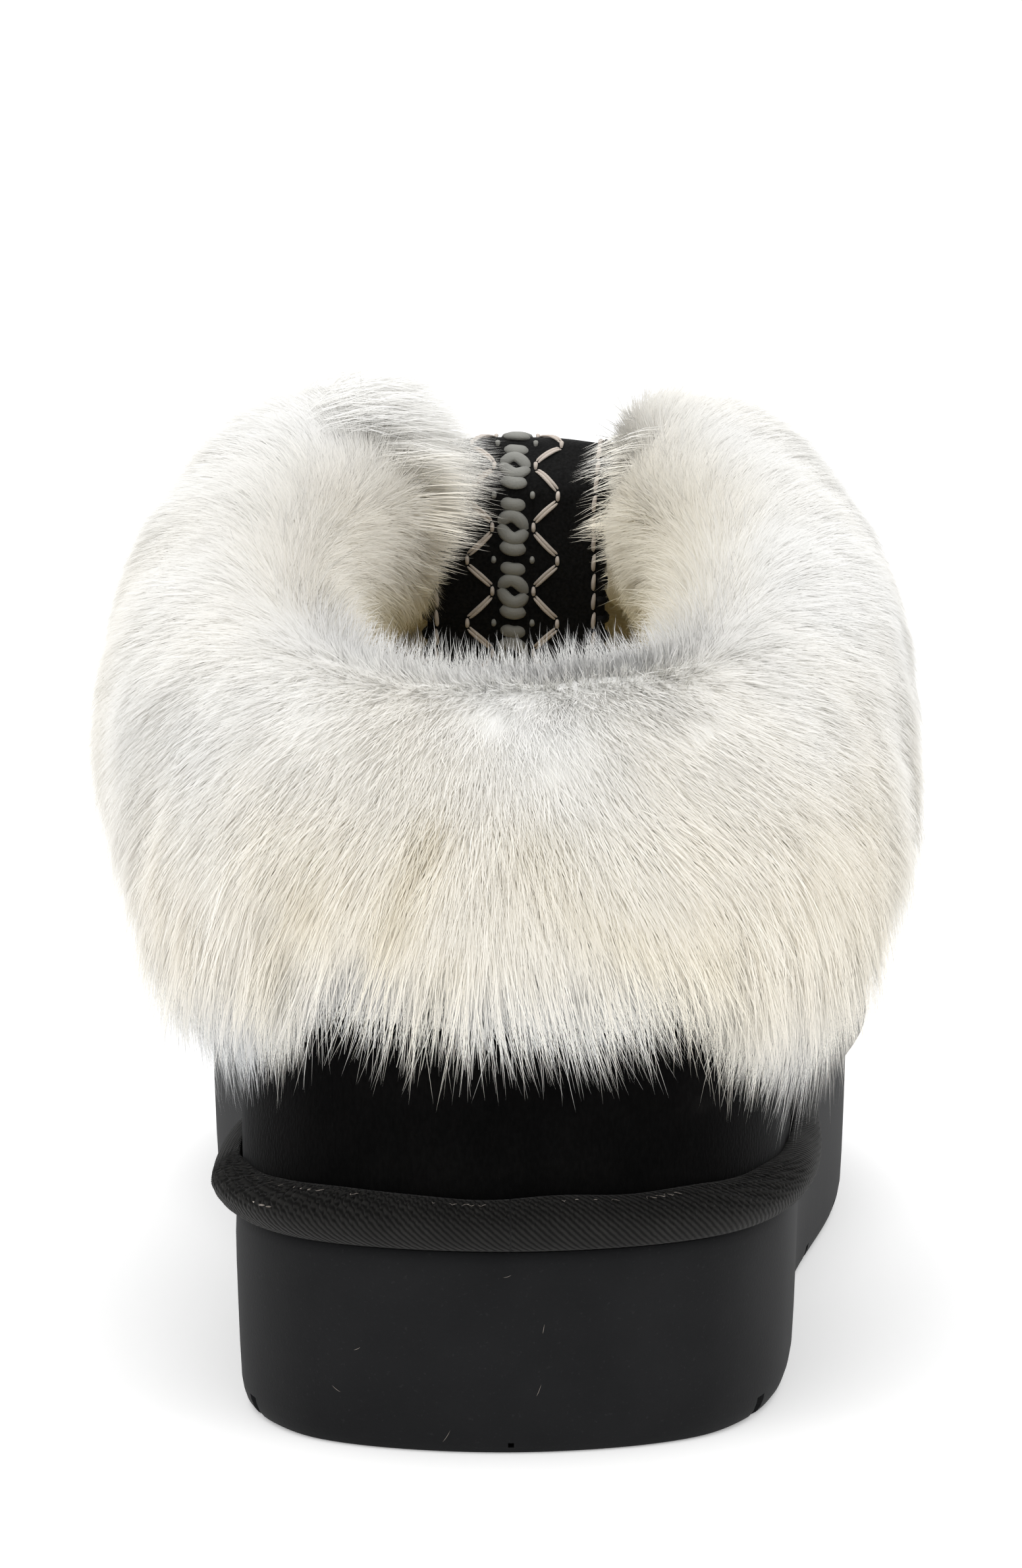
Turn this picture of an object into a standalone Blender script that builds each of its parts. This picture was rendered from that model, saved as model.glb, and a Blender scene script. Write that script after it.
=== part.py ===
"""Right platform slipper: outsole, taped binding, suede upper, insole, deep fur collar and instep strap.

The meshes are made in the last's own frame: the heel's back is at y = 0, the toe at +Y, the little toe's
side at +X and the floor at z = 0. The parent empty then moves the middle of the outsole to the origin.
"""

import math
from collections import namedtuple

import bmesh
import bpy
import numpy as np
from mathutils import Vector

MM = 0.001
UP = Vector((0, 0, 1))

# Driving sizes
LENGTH = 258 * MM
BALL_WIDTH = 100 * MM
COLLAR_WIDTH = 68 * MM
HEEL_HEIGHT = 88.7 * MM
INSTEP_HEIGHT = 121.7 * MM
SOLE_HEIGHT = 28.2 * MM
TOE_SPRING = 9 * MM
SPRING_START = 0.66 * LENGTH

# Walls and clearances
WALL = 2.6 * MM
GAP = 0.4 * MM
UPPER_INSET = 1.4 * MM
INSOLE_HEIGHT = 6 * MM

# Tread: grooves across the floor face, and one along it at the heel
GROOVE_START = 28 * MM
GROOVE_PITCH = 31.5 * MM
GROOVE_COUNT = 7
GROOVE_WIDTH = 2.6 * MM
GROOVE_DEPTH = 3 * MM
HEEL_GROOVE_LENGTH = 20 * MM

# Binding: the taped roll round the foot of the upper
BINDING_HEIGHT = 7.2 * MM
BINDING_OUT = 4.2 * MM

# Fur collar: how far it hangs inside the collar, its hem's thickness and its locks
HEM_INSIDE = 14 * MM
HEM_THICK = 1.4 * MM
LOCK_COLUMNS = 4
LOCK_CHANGE = 2.4
LOCK_RELIEF = 0.05
LOCK_HEM = 4 * MM

# Instep strap, over the flattened fur and down the vamp, and its free end that hangs inside the throat
STRAP_WIDTH = 27 * MM
STRAP_THICK = 1.8 * MM
STRAP_OUTSIDE = 52 * MM
STRAP_HOP = 9 * MM
STRAP_CLEAR = 2 * GAP
STRAP_MARGIN = 2.5 * MM
STRAP_DIP = 6 * MM
STRAP_ROOM = 8 * MM
FUR_UNDER_STRAP = 4 * MM
TAB_DROP = 40 * MM
TAB_DRIFT = 9 * MM
TAB_ROWS = 5

# Mesh columns round the shoe or across the strap, and rows from the sole to the collar. The fur's columns are
# set at equal steps along a loop this far out of the collar.
SOLE_COLUMNS = 80
UPPER_ROWS = 10
FUR_COLUMNS = 132
FUR_LOOP = 10 * MM
STRAP_COLUMNS = 6
SAMPLES = 481

# The last, one row for each section round the shoe, from the heel over the outer side to the toe and back.
# along, side: the outsole's edge. rim_along, rim_side, rim_rise: the collar. wall, flare: how high and how
# far out the wall starts from the sole. reach, drop: how far out and down it leaves the collar. fur_out,
# fur_up, fur_in: the pile outside, above and inside the collar. hem: how far the fur hangs outside. Lengths
# along the shoe are shares of LENGTH, sides are shares of half the ball or collar width, rim_rise runs from
# the heel's height at 0 to the instep's at 1, and the rest is in millimetres.
Section = namedtuple(
    "Section", "along side rim_along rim_side rim_rise wall flare reach drop fur_out fur_up fur_in hem"
)
LAST = (
    Section(0.000, 0.00, 0.030, 0.00, 0.00, 24, 2.5, 2.5, 22, 20.0, 17, 9.5, 37),  # heel
    Section(0.036, 0.55, 0.050, 0.53, 0.02, 24, 2.5, 2.5, 22, 21.0, 17, 9.5, 38),
    Section(0.130, 0.78, 0.115, 0.88, 0.10, 25, 2.0, 3.0, 22, 21.5, 18, 9.5, 42),
    Section(0.370, 0.87, 0.256, 1.00, 0.42, 28, 1.5, 10.0, 24, 24.0, 21, 9.5, 43),  # waist, outer side
    Section(0.645, 1.09, 0.380, 0.80, 0.78, 36, 1.5, 20.0, 24, 25.0, 21, 12.0, 41),  # ball, outer side
    Section(0.830, 0.95, 0.438, 0.52, 0.92, 42, 2.0, 20.0, 29, 23.0, 18, 13.0, 39),
    Section(0.952, 0.52, 0.456, 0.25, 0.99, 47, 3.0, 18.0, 33, 21.0, 15, 12.0, 38),
    Section(1.000, -0.12, 0.460, 0.04, 1.00, 49, 3.5, 17.0, 34, 20.0, 14, 12.0, 38),  # toe, under the throat
    Section(0.965, -0.58, 0.457, -0.18, 0.99, 47, 3.0, 18.0, 33, 21.0, 15, 13.0, 38),
    Section(0.870, -0.87, 0.444, -0.48, 0.93, 42, 2.0, 20.0, 29, 23.0, 18, 15.0, 39),
    Section(0.680, -0.98, 0.395, -0.77, 0.80, 36, 1.5, 21.0, 24, 25.5, 21, 14.0, 41),  # ball, inner side
    Section(0.390, -0.67, 0.264, -1.00, 0.43, 29, 1.5, 10.0, 24, 26.5, 21, 9.5, 43),  # waist, inner side
    Section(0.118, -0.77, 0.110, -0.88, 0.10, 25, 2.0, 3.0, 22, 20.0, 18, 9.5, 42),
    Section(0.031, -0.56, 0.049, -0.53, 0.02, 24, 2.5, 2.5, 22, 20.5, 17, 9.5, 39),
)
TOE_ROW = 7

# The outsole's wall from the floor up. rise: share of its height. inset: in from the outline, in millimetres.
SoleRow = namedtuple("SoleRow", "rise inset")
SOLE_PROFILE = (
    SoleRow(0.00, 2.6),
    SoleRow(0.05, 1.3),
    SoleRow(0.14, 0.7),
    SoleRow(0.86, 0.0),
    SoleRow(1.00, 0.6),
)

# The binding's section from its foot to its top, as shares of its height and of its reach out of the upper
BindingRow = namedtuple("BindingRow", "rise out")
BINDING_PROFILE = (
    BindingRow(0.00, 0.00),
    BindingRow(0.00, 0.38),
    BindingRow(0.14, 0.80),
    BindingRow(0.42, 1.00),
    BindingRow(0.72, 0.86),
    BindingRow(0.94, 0.42),
    BindingRow(1.00, 0.00),
)

# The insole's edge from its foot to its top. rise: share of its height. inset: in from the upper, in mm.
InsoleRow = namedtuple("InsoleRow", "rise inset")
INSOLE_PROFILE = (
    InsoleRow(0.00, 0.0),
    InsoleRow(0.65, 0.0),
    InsoleRow(1.00, 2.0),
)

# The fur's section from the outer hem over the collar to the inner hem. below: share of the hem's depth under
# the collar, or of the pile's rise above it where negative. out: share of the pile outside, or inside where
# negative.
FurRow = namedtuple("FurRow", "below out")
FUR_SECTION = (
    FurRow(0.86, 0.52),
    FurRow(0.60, 0.86),
    FurRow(0.30, 1.00),
    FurRow(0.00, 0.96),
    FurRow(-0.50, 0.80),
    FurRow(-0.86, 0.45),
    FurRow(-1.00, 0.05),
    FurRow(-0.80, -0.45),
    FurRow(-0.30, -0.90),
    FurRow(0.25, -1.00),
    FurRow(0.70, -0.70),
)


def clear_scene():
    for leftover in list(bpy.data.objects):
        bpy.data.objects.remove(leftover)


def ease(low, high, value):
    """From 0 at low to 1 at high, level at both ends."""
    share = min(1.0, max(0.0, (value - low) / (high - low)))
    return share * share * (3 - 2 * share)


def knots_of(rows):
    """Distance round the last to each row, and back to the first."""
    spots = [Vector((row.side * BALL_WIDTH / 2, row.along * LENGTH)) for row in rows]
    knots = [0.0]
    for here, there in zip(spots, spots[1:] + spots[:1]):
        knots.append(knots[-1] + (there - here).length)
    return knots


KNOTS = knots_of(LAST)
ROUND = KNOTS[-1]
THROAT = KNOTS[TOE_ROW]


def knot(index):
    laps, row = divmod(index, len(LAST))
    return KNOTS[row] + laps * ROUND


def slope(index, column):
    """How fast a column changes at a row, from the rows on both sides of it."""
    before = LAST[(index - 1) % len(LAST)][column]
    after = LAST[(index + 1) % len(LAST)][column]
    return (after - before) / (knot(index + 1) - knot(index - 1))


def section(distance):
    """The last's sizes at a distance round it, on a smooth closed curve through the rows."""
    distance %= ROUND
    row = max(i for i in range(len(LAST)) if KNOTS[i] <= distance)
    span = KNOTS[row + 1] - KNOTS[row]
    t = (distance - KNOTS[row]) / span
    here, there = LAST[row], LAST[(row + 1) % len(LAST)]
    sizes = []
    for column in range(len(here)):
        leave = slope(row, column) * span
        arrive = slope(row + 1, column) * span
        sizes.append(
            (2 * t**3 - 3 * t**2 + 1) * here[column]
            + (t**3 - 2 * t**2 + t) * leave
            + (3 * t**2 - 2 * t**3) * there[column]
            + (t**3 - t**2) * arrive
        )
    return Section(*sizes)


def edge(distance, inset=0.0):
    """A point of the outsole's outline, moved in by inset, and the way out of the shoe there."""
    step = 0.5 * MM
    spots = []
    for near in (distance - step, distance, distance + step):
        sizes = section(near)
        spots.append(Vector((sizes.side * BALL_WIDTH / 2, sizes.along * LENGTH, 0)))
    forward = (spots[2] - spots[0]).normalized()
    outward = forward.cross(UP)
    return spots[1] - outward * inset, outward


def toe_lift(along):
    share = max(0.0, (along - SPRING_START) / (LENGTH - SPRING_START))
    return TOE_SPRING * share * share


def sole_top(along):
    return SOLE_HEIGHT + toe_lift(along)


def wall_curve(distance):
    """The four control points of the upper's outer face from the sole to the collar."""
    sizes = section(distance)
    foot, outward = edge(distance, UPPER_INSET)
    base = foot + UP * (sole_top(foot.y) + GAP)
    height = HEEL_HEIGHT + sizes.rim_rise * (INSTEP_HEIGHT - HEEL_HEIGHT)
    rim = Vector((sizes.rim_side * COLLAR_WIDTH / 2, sizes.rim_along * LENGTH, height))
    away = Vector((base.x - rim.x, base.y - rim.y, 0)).normalized()
    from_sole = base + UP * sizes.wall * MM + outward * sizes.flare * MM
    from_rim = rim + away * sizes.reach * MM - UP * sizes.drop * MM
    return base, from_sole, from_rim, rim


def upper_point(distance, share):
    """The upper's outer face, at a share of the way from the sole to the collar."""
    a, b, c, d = wall_curve(distance)
    rest = 1 - share
    return a * rest**3 + b * 3 * rest**2 * share + c * 3 * rest * share**2 + d * share**3


def upper_normal(distance, share):
    step = 1 * MM
    nudge = 0.01
    along = upper_point(distance + step, share) - upper_point(distance - step, share)
    low, high = max(0.0, share - nudge), min(1.0, share + nudge)
    up = upper_point(distance, high) - upper_point(distance, low)
    return along.cross(up).normalized()


class RimLine:
    """The upper's face at one place round the shoe, measured from the collar down."""

    STEPS = 40

    def __init__(self, distance):
        self.distance = distance
        self.shares = np.linspace(1, 0, self.STEPS + 1)
        points = [upper_point(distance, share) for share in self.shares]
        lengths = [(b - a).length for a, b in zip(points, points[1:])]
        self.below = np.concatenate([[0], np.cumsum(lengths)])
        self.up = (points[0] - points[1]).normalized()

    def at(self, below, out):
        """A point this far below the collar, or above it if negative, and this far out of the face."""
        share = float(np.interp(max(below, 0.0), self.below, self.shares))
        face = upper_point(self.distance, share) + self.up * max(-below, 0.0)
        return face + upper_normal(self.distance, share) * out


def travel(place):
    """Distances round the last, and how far place has gone along its own loop at each of them."""
    fine = np.linspace(0, ROUND, SAMPLES)
    points = np.array([place(distance) for distance in fine])
    steps = np.linalg.norm(np.diff(points, axis=0), axis=1)
    return fine, np.concatenate([[0], np.cumsum(steps)])


def spread(place, count):
    """Distances round the last that set count points of place at equal steps along their own loop."""
    fine, gone = travel(place)
    wanted = np.arange(count) * gone[-1] / count
    return [float(distance) for distance in np.interp(wanted, gone, fine)]


COLUMNS = spread(lambda distance: edge(distance)[0], SOLE_COLUMNS)
FINE, RIM_GONE = travel(lambda distance: upper_point(distance, 1.0))
THROAT_GONE = np.interp(THROAT, FINE, RIM_GONE)
THROAT_LINE = RimLine(THROAT)


def beside_throat(along_rim):
    """The line down from the collar at this distance along the rim from the middle of the throat."""
    return RimLine(float(np.interp(THROAT_GONE + along_rim, RIM_GONE, FINE)))


def fullness(line, below, outside=True):
    """How much of the fur's depth stands here: 0 under the strap, 1 clear of it."""
    out = 0.0 if outside else -WALL - STRAP_ROOM
    beside = (line.at(below, out) - THROAT_LINE.at(below, out)).length
    clear = STRAP_WIDTH / 2 + STRAP_MARGIN
    return ease(clear, clear + STRAP_DIP, beside)


def material(name, colour, roughness):
    made = bpy.data.materials.new(name)
    made.use_nodes = True
    shader = made.node_tree.nodes["Principled BSDF"]
    shader.inputs["Base Color"].default_value = (*colour, 1)
    shader.inputs["Roughness"].default_value = roughness
    shader.inputs["Metallic"].default_value = 0.0
    return made


def across(bm, ring):
    """Closes a ring with strips from one side to the other."""
    count = len(ring)
    middle = count // 2
    bm.faces.new((ring[0], ring[1], ring[count - 1]))
    for i in range(1, middle - 1):
        bm.faces.new((ring[i], ring[i + 1], ring[count - i - 1], ring[count - i]))
    bm.faces.new((ring[middle - 1], ring[middle], ring[middle + 1]))


def loft(name, rings, finish, ends, collection, parent):
    """An object through closed rings of points. ends: "capped", "joined" last to first, or "open"."""
    bm = bmesh.new()
    made = [[bm.verts.new(point) for point in ring] for ring in rings]
    pairs = list(zip(made, made[1:]))
    if ends == "joined":
        pairs.append((made[-1], made[0]))
    for low, high in pairs:
        for i in range(len(low)):
            j = (i + 1) % len(low)
            bm.faces.new((low[i], low[j], high[j], high[i]))
    if ends == "capped":
        across(bm, made[0])
        across(bm, made[-1])
    bmesh.ops.recalc_face_normals(bm, faces=bm.faces)
    mesh = bpy.data.meshes.new(name)
    bm.to_mesh(mesh)
    bm.free()
    mesh.shade_smooth()
    mesh.set_sharp_from_angle(angle=math.radians(40))
    mesh.materials.append(finish)
    piece = bpy.data.objects.new(name, mesh)
    collection.objects.link(piece)
    piece.parent = parent
    return piece


def outline_ring(inset, height):
    """The outline moved in by inset, with the height that height gives for a place along the shoe."""
    ring = []
    for distance in COLUMNS:
        spot, _ = edge(distance, inset)
        ring.append(spot + UP * height(spot.y))
    return ring


def groove(piece, name, place, size, cutters, parent):
    """Cuts a straight groove of the tread, centred on a place of the floor face."""
    bpy.ops.mesh.primitive_cube_add(size=1, location=place)
    box = bpy.context.object
    box.name = name
    box.scale = (*size, 2 * GROOVE_DEPTH)
    box.parent = parent
    box.hide_render = True
    box.display_type = "WIRE"
    for owner in list(box.users_collection):
        owner.objects.unlink(box)
    cutters.objects.link(box)
    cut = piece.modifiers.new(name, "BOOLEAN")
    cut.operation = "DIFFERENCE"
    cut.object = box


def make_outsole(collection, cutters, parent):
    rings = []
    for row in SOLE_PROFILE:
        rise = row.rise * SOLE_HEIGHT
        rings.append(outline_ring(row.inset * MM, lambda y, rise=rise: toe_lift(y) + rise))
    rubber = material("black_rubber", (0.018, 0.018, 0.019), 0.6)
    outsole = loft("outsole", rings, rubber, "capped", collection, parent)
    for number in range(GROOVE_COUNT):
        along = GROOVE_START + number * GROOVE_PITCH
        place = (0, along, toe_lift(along))
        groove(outsole, f"groove_{number}", place, (2 * BALL_WIDTH, GROOVE_WIDTH), cutters, parent)
    size = (GROOVE_WIDTH, 2 * HEEL_GROOVE_LENGTH)
    groove(outsole, "groove_heel", (0, 0, 0), size, cutters, parent)
    return outsole


def wall_above_foot(distance, height):
    """The point of the upper's outer face this far above the upper's foot."""
    shares = np.linspace(0, 0.5, 26)
    points = [upper_point(distance, share) for share in shares]
    heights = [point.z - points[0].z for point in points]
    return upper_point(distance, float(np.interp(height, heights, shares)))


def make_binding(collection, parent):
    """A rolled tape that stands out of the upper's foot, over the outsole's rim."""
    rings = []
    for row in BINDING_PROFILE:
        ring = []
        for distance in COLUMNS:
            _, outward = edge(distance)
            wall = wall_above_foot(distance, row.rise * BINDING_HEIGHT)
            place = wall + outward * (GAP + row.out * BINDING_OUT)
            place.z = sole_top(place.y) + GAP + row.rise * BINDING_HEIGHT
            ring.append(place)
        rings.append(ring)
    tape = material("black_twill_tape", (0.016, 0.016, 0.016), 0.8)
    return loft("binding", rings, tape, "joined", collection, parent)


def make_upper(collection, parent):
    """The suede wall: the last's outer face from sole to collar, thickened inwards."""
    rings = []
    for row in range(UPPER_ROWS + 1):
        rings.append([upper_point(distance, row / UPPER_ROWS) for distance in COLUMNS])
    suede = material("black_suede", (0.008, 0.008, 0.008), 0.95)
    upper = loft("upper", rings, suede, "open", collection, parent)
    wall = upper.modifiers.new("wall", "SOLIDIFY")
    wall.thickness = WALL
    wall.offset = -1
    wall.use_even_offset = True
    return upper


def make_insole(collection, parent):
    beside = UPPER_INSET + WALL + 2 * GAP
    rings = []
    for row in INSOLE_PROFILE:
        rise = GAP + row.rise * INSOLE_HEIGHT
        rings.append(outline_ring(beside + row.inset * MM, lambda y, rise=rise: sole_top(y) + rise))
    fleece = material("cream_fleece", (0.75, 0.66, 0.47), 0.95)
    return loft("insole", rings, fleece, "capped", collection, parent)


def fur_row(row, pile, rise, hem):
    """Where a row of the fur's section lies: distance below the collar, and out of the upper's outer face."""
    depth = hem if row.out >= 0 else HEM_INSIDE
    below = row.below * (depth if row.below >= 0 else rise)
    face = GAP if row.out >= 0 else -WALL - GAP
    return below, face + row.out * pile


def fur_loop(distance, number):
    """The fur's section at one place: its face, drawn into locks, then back along the collar's two faces."""
    line = RimLine(distance)
    sizes = section(distance)
    wave = 2 * math.pi * number / LOCK_COLUMNS
    vary = 0.7 + 0.3 * math.sin(LOCK_CHANGE * (number // LOCK_COLUMNS))
    hem = sizes.hem * MM
    tip = hem + LOCK_HEM * vary * math.cos(wave) * fullness(line, hem)
    inner = -WALL - GAP
    loop = [line.at(tip, GAP + HEM_THICK)]
    for index, row in enumerate(FUR_SECTION):
        outside = row.out >= 0
        depth = (sizes.fur_out if outside else sizes.fur_in) * MM
        full = fullness(line, max(row.below, 0.0) * hem, outside)
        swell = 1 + LOCK_RELIEF * full * vary * math.cos(wave + LOCK_CHANGE * index)
        pile = FUR_UNDER_STRAP + (depth - FUR_UNDER_STRAP) * full
        rise = FUR_UNDER_STRAP + (sizes.fur_up * MM - FUR_UNDER_STRAP) * full
        loop.append(line.at(*fur_row(row, pile * swell, rise * swell, hem)))
    loop.append(line.at(HEM_INSIDE, inner - HEM_THICK))
    loop += [line.at(below, inner) for below in (HEM_INSIDE, HEM_INSIDE / 2, -GAP)]
    loop += [line.at(below, GAP) for below in (-GAP, hem / 3, hem * 2 / 3, tip)]
    return loop


def make_fur(collection, parent):
    """The deep pile round the collar: a hooked ring whose face and hem are drawn into locks."""
    columns = spread(lambda distance: RimLine(distance).at(0.0, FUR_LOOP), FUR_COLUMNS)
    loops = [fur_loop(distance, number) for number, distance in enumerate(columns)]
    rings = [list(ring) for ring in zip(*loops)]
    pile = material("cream_fur", (0.80, 0.77, 0.70), 0.95)
    return loft("fur_collar", rings, pile, "joined", collection, parent)


def strap_path():
    """The strap's lower face from the collar's inner edge to the vamp: places below and out of the collar."""
    depth = FUR_UNDER_STRAP + STRAP_CLEAR
    hem = section(THROAT).hem * MM
    over = [row for row in reversed(FUR_SECTION) if row.below < 0 or row.out > 0]
    path = [fur_row(row, depth, depth, hem) for row in over]
    path += [
        (hem, HEM_THICK + 2 * STRAP_CLEAR),
        (hem + STRAP_HOP, STRAP_CLEAR),
        (STRAP_OUTSIDE, STRAP_CLEAR),
    ]
    return path


def strap_half(below, out):
    """The distance along the rim, each side of the throat's middle, that is the strap's width at this place."""
    half = STRAP_WIDTH / 2
    for _ in range(4):
        width = beside_throat(half).at(below, out) - beside_throat(-half).at(below, out)
        half *= STRAP_WIDTH / width.length
    return half


def hanging(ring):
    """Rings for the strap's free end, the lowest first: its section falls and drifts towards the toe."""
    rings = []
    for step in range(TAB_ROWS, 0, -1):
        share = step / TAB_ROWS
        fall = Vector((0, TAB_DRIFT * share**2, -TAB_DROP * share))
        rings.append([point + fall for point in ring])
    return rings


def make_strap(collection, parent):
    """A flat band of one width over the collar at the throat, with a free end inside it."""
    shares = [2 * i / STRAP_COLUMNS - 1 for i in range(STRAP_COLUMNS + 1)]
    path = strap_path()
    rings = []
    for number, (below, out) in enumerate(path):
        before, after = path[max(number - 1, 0)], path[min(number + 1, len(path) - 1)]
        run = Vector((after[0] - before[0], after[1] - before[1])).normalized()
        half = strap_half(below, out)
        lines = [beside_throat(share * half) for share in shares]
        lower = [line.at(below, out) for line in lines]
        upper = [line.at(below - run.y * STRAP_THICK, out + run.x * STRAP_THICK) for line in lines]
        rings.append(lower + upper[::-1])
    webbing = material("black_webbing", (0.012, 0.012, 0.012), 0.85)
    return loft("instep_strap", hanging(rings[0]) + rings, webbing, "capped", collection, parent)


def main():
    clear_scene()
    pieces = bpy.data.collections.new("fur_collar_slipper")
    cutters = bpy.data.collections.new("cutters")
    bpy.context.scene.collection.children.link(pieces)
    bpy.context.scene.collection.children.link(cutters)
    frame = bpy.data.objects.new("slipper", None)
    frame.location = (0, -LENGTH / 2, 0)
    pieces.objects.link(frame)
    make_outsole(pieces, cutters, frame)
    make_binding(pieces, frame)
    make_upper(pieces, frame)
    make_insole(pieces, frame)
    make_fur(pieces, frame)
    make_strap(pieces, frame)


main()
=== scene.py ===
"""Looks of the fur collar slipper: every piece is made again, finely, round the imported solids.

The surfaces are worked out in the last's own frame, as the solids are: the heel's back at y = 0, the toe at
+Y, the little toe's side at +X and the floor at z = 0. SHIFT then sets the outsole's middle at the origin.
"""

import math
from collections import namedtuple

import bmesh
import bpy
import numpy as np
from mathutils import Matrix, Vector


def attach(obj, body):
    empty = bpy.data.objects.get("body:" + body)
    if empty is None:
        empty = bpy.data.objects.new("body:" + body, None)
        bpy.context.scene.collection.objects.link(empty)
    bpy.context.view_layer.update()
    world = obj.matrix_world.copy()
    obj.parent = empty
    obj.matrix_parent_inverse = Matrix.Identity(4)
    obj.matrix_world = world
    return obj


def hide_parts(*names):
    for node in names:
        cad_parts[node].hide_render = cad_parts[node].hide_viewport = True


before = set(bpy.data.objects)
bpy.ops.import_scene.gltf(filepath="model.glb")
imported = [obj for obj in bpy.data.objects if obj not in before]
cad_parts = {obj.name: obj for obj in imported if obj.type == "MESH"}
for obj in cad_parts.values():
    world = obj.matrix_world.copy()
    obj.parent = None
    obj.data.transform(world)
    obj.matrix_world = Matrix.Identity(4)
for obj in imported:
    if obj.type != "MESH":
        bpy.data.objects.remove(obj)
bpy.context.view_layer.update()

MM = 0.001
UP = np.array((0.0, 0.0, 1.0))

# The last's driving sizes, walls and clearances
LENGTH = 258 * MM
BALL_WIDTH = 100 * MM
COLLAR_WIDTH = 68 * MM
HEEL_HEIGHT = 88.7 * MM
INSTEP_HEIGHT = 121.7 * MM
SOLE_HEIGHT = 28.2 * MM
TOE_SPRING = 9 * MM
SPRING_START = 0.66 * LENGTH
WALL = 2.6 * MM
GAP = 0.4 * MM
UPPER_INSET = 1.4 * MM
INSOLE_HEIGHT = 6 * MM
SHIFT = np.array((0.0, -LENGTH / 2, 0.0))

# Tread
GROOVE_START = 22 * MM
GROOVE_PITCH = 31.5 * MM
GROOVE_COUNT = 7
GROOVE_WIDTH = 2.6 * MM
GROOVE_DEPTH = 3 * MM
NOTCH_RISE = 1.3 * MM
NOTCH_WIDTH = 0.8 * MM
NOTCH_HEIGHT = 0.7 * MM
NOTCH_DEPTH = 4 * MM

# Binding, fur collar and strap
BINDING_HEIGHT = 7.2 * MM
BINDING_OUT = 4.2 * MM
HEM_INSIDE = 14 * MM
HEM_THICK = 1.4 * MM
FUR_LOOP = 10 * MM
FUR_UNDER_STRAP = 4 * MM
STRAP_WIDTH = 27 * MM
STRAP_THICK = 1.8 * MM
STRAP_OUTSIDE = 52 * MM
STRAP_HOP = 9 * MM
STRAP_CLEAR = 2 * GAP
STRAP_MARGIN = 2.5 * MM
STRAP_DIP = 6 * MM
STRAP_ROOM = 8 * MM
TAB_DROP = 40 * MM
TAB_DRIFT = 9 * MM
TAB_ROWS = 5

# The last, one row for each section round the shoe, from the heel over the outer side to the toe and back.
# along, side: the outsole's edge. rim_along, rim_side, rim_rise: the collar. wall, flare: how high and how
# far out the wall starts from the sole. reach, drop: how far out and down it leaves the collar. fur_out,
# fur_up, fur_in: the pile outside, above and inside the collar. hem: how far the fur hangs outside. Lengths
# along the shoe are shares of LENGTH, sides are shares of half the ball or collar width, rim_rise runs from
# the heel's height at 0 to the instep's at 1, and the rest is in millimetres.
Section = namedtuple(
    "Section", "along side rim_along rim_side rim_rise wall flare reach drop fur_out fur_up fur_in hem"
)
LAST = (
    Section(0.000, 0.00, 0.030, 0.00, 0.00, 24, 2.5, 2.5, 22, 20.0, 17, 9.5, 37),  # heel
    Section(0.036, 0.55, 0.050, 0.53, 0.02, 24, 2.5, 2.5, 22, 21.0, 17, 9.5, 38),
    Section(0.130, 0.78, 0.115, 0.88, 0.10, 25, 2.0, 3.0, 22, 21.5, 18, 9.5, 42),
    Section(0.370, 0.87, 0.256, 1.00, 0.42, 28, 1.5, 10.0, 24, 24.0, 21, 9.5, 43),  # waist, outer side
    Section(0.645, 1.09, 0.380, 0.80, 0.78, 36, 1.5, 20.0, 24, 25.0, 21, 12.0, 41),  # ball, outer side
    Section(0.830, 0.95, 0.438, 0.52, 0.92, 42, 2.0, 20.0, 29, 23.0, 18, 13.0, 39),
    Section(0.952, 0.52, 0.456, 0.25, 0.99, 47, 3.0, 18.0, 33, 21.0, 15, 12.0, 38),
    Section(1.000, -0.12, 0.460, 0.04, 1.00, 49, 3.5, 17.0, 34, 20.0, 14, 12.0, 38),  # toe, under the throat
    Section(0.965, -0.58, 0.457, -0.18, 0.99, 47, 3.0, 18.0, 33, 21.0, 15, 13.0, 38),
    Section(0.870, -0.87, 0.444, -0.48, 0.93, 42, 2.0, 20.0, 29, 23.0, 18, 15.0, 39),
    Section(0.680, -0.98, 0.395, -0.77, 0.80, 36, 1.5, 21.0, 24, 25.5, 21, 14.0, 41),  # ball, inner side
    Section(0.390, -0.67, 0.264, -1.00, 0.43, 29, 1.5, 10.0, 24, 26.5, 21, 9.5, 43),  # waist, inner side
    Section(0.118, -0.77, 0.110, -0.88, 0.10, 25, 2.0, 3.0, 22, 20.0, 18, 9.5, 42),
    Section(0.031, -0.56, 0.049, -0.53, 0.02, 24, 2.5, 2.5, 22, 20.5, 17, 9.5, 39),
)
TOE_ROW = 7

# The fur's section from the outer hem over the collar to the inner hem. below: share of the hem's depth under
# the collar, or of the pile's rise above it where negative. out: share of the pile outside, or inside where
# negative.
FurRow = namedtuple("FurRow", "below out")
FUR_SECTION = (
    FurRow(0.86, 0.52),
    FurRow(0.60, 0.86),
    FurRow(0.30, 1.00),
    FurRow(0.00, 0.96),
    FurRow(-0.50, 0.80),
    FurRow(-0.86, 0.45),
    FurRow(-1.00, 0.05),
    FurRow(-0.80, -0.45),
    FurRow(-0.30, -0.90),
    FurRow(0.25, -1.00),
    FurRow(0.70, -0.70),
)


def ease(low, high, value):
    """From 0 at low to 1 at high, level at both ends."""
    share = np.clip((np.asarray(value, float) - low) / (high - low), 0, 1)
    return share * share * (3 - 2 * share)


def unit(vectors):
    return vectors / np.maximum(np.linalg.norm(vectors, axis=-1, keepdims=True), 1e-12)


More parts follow.
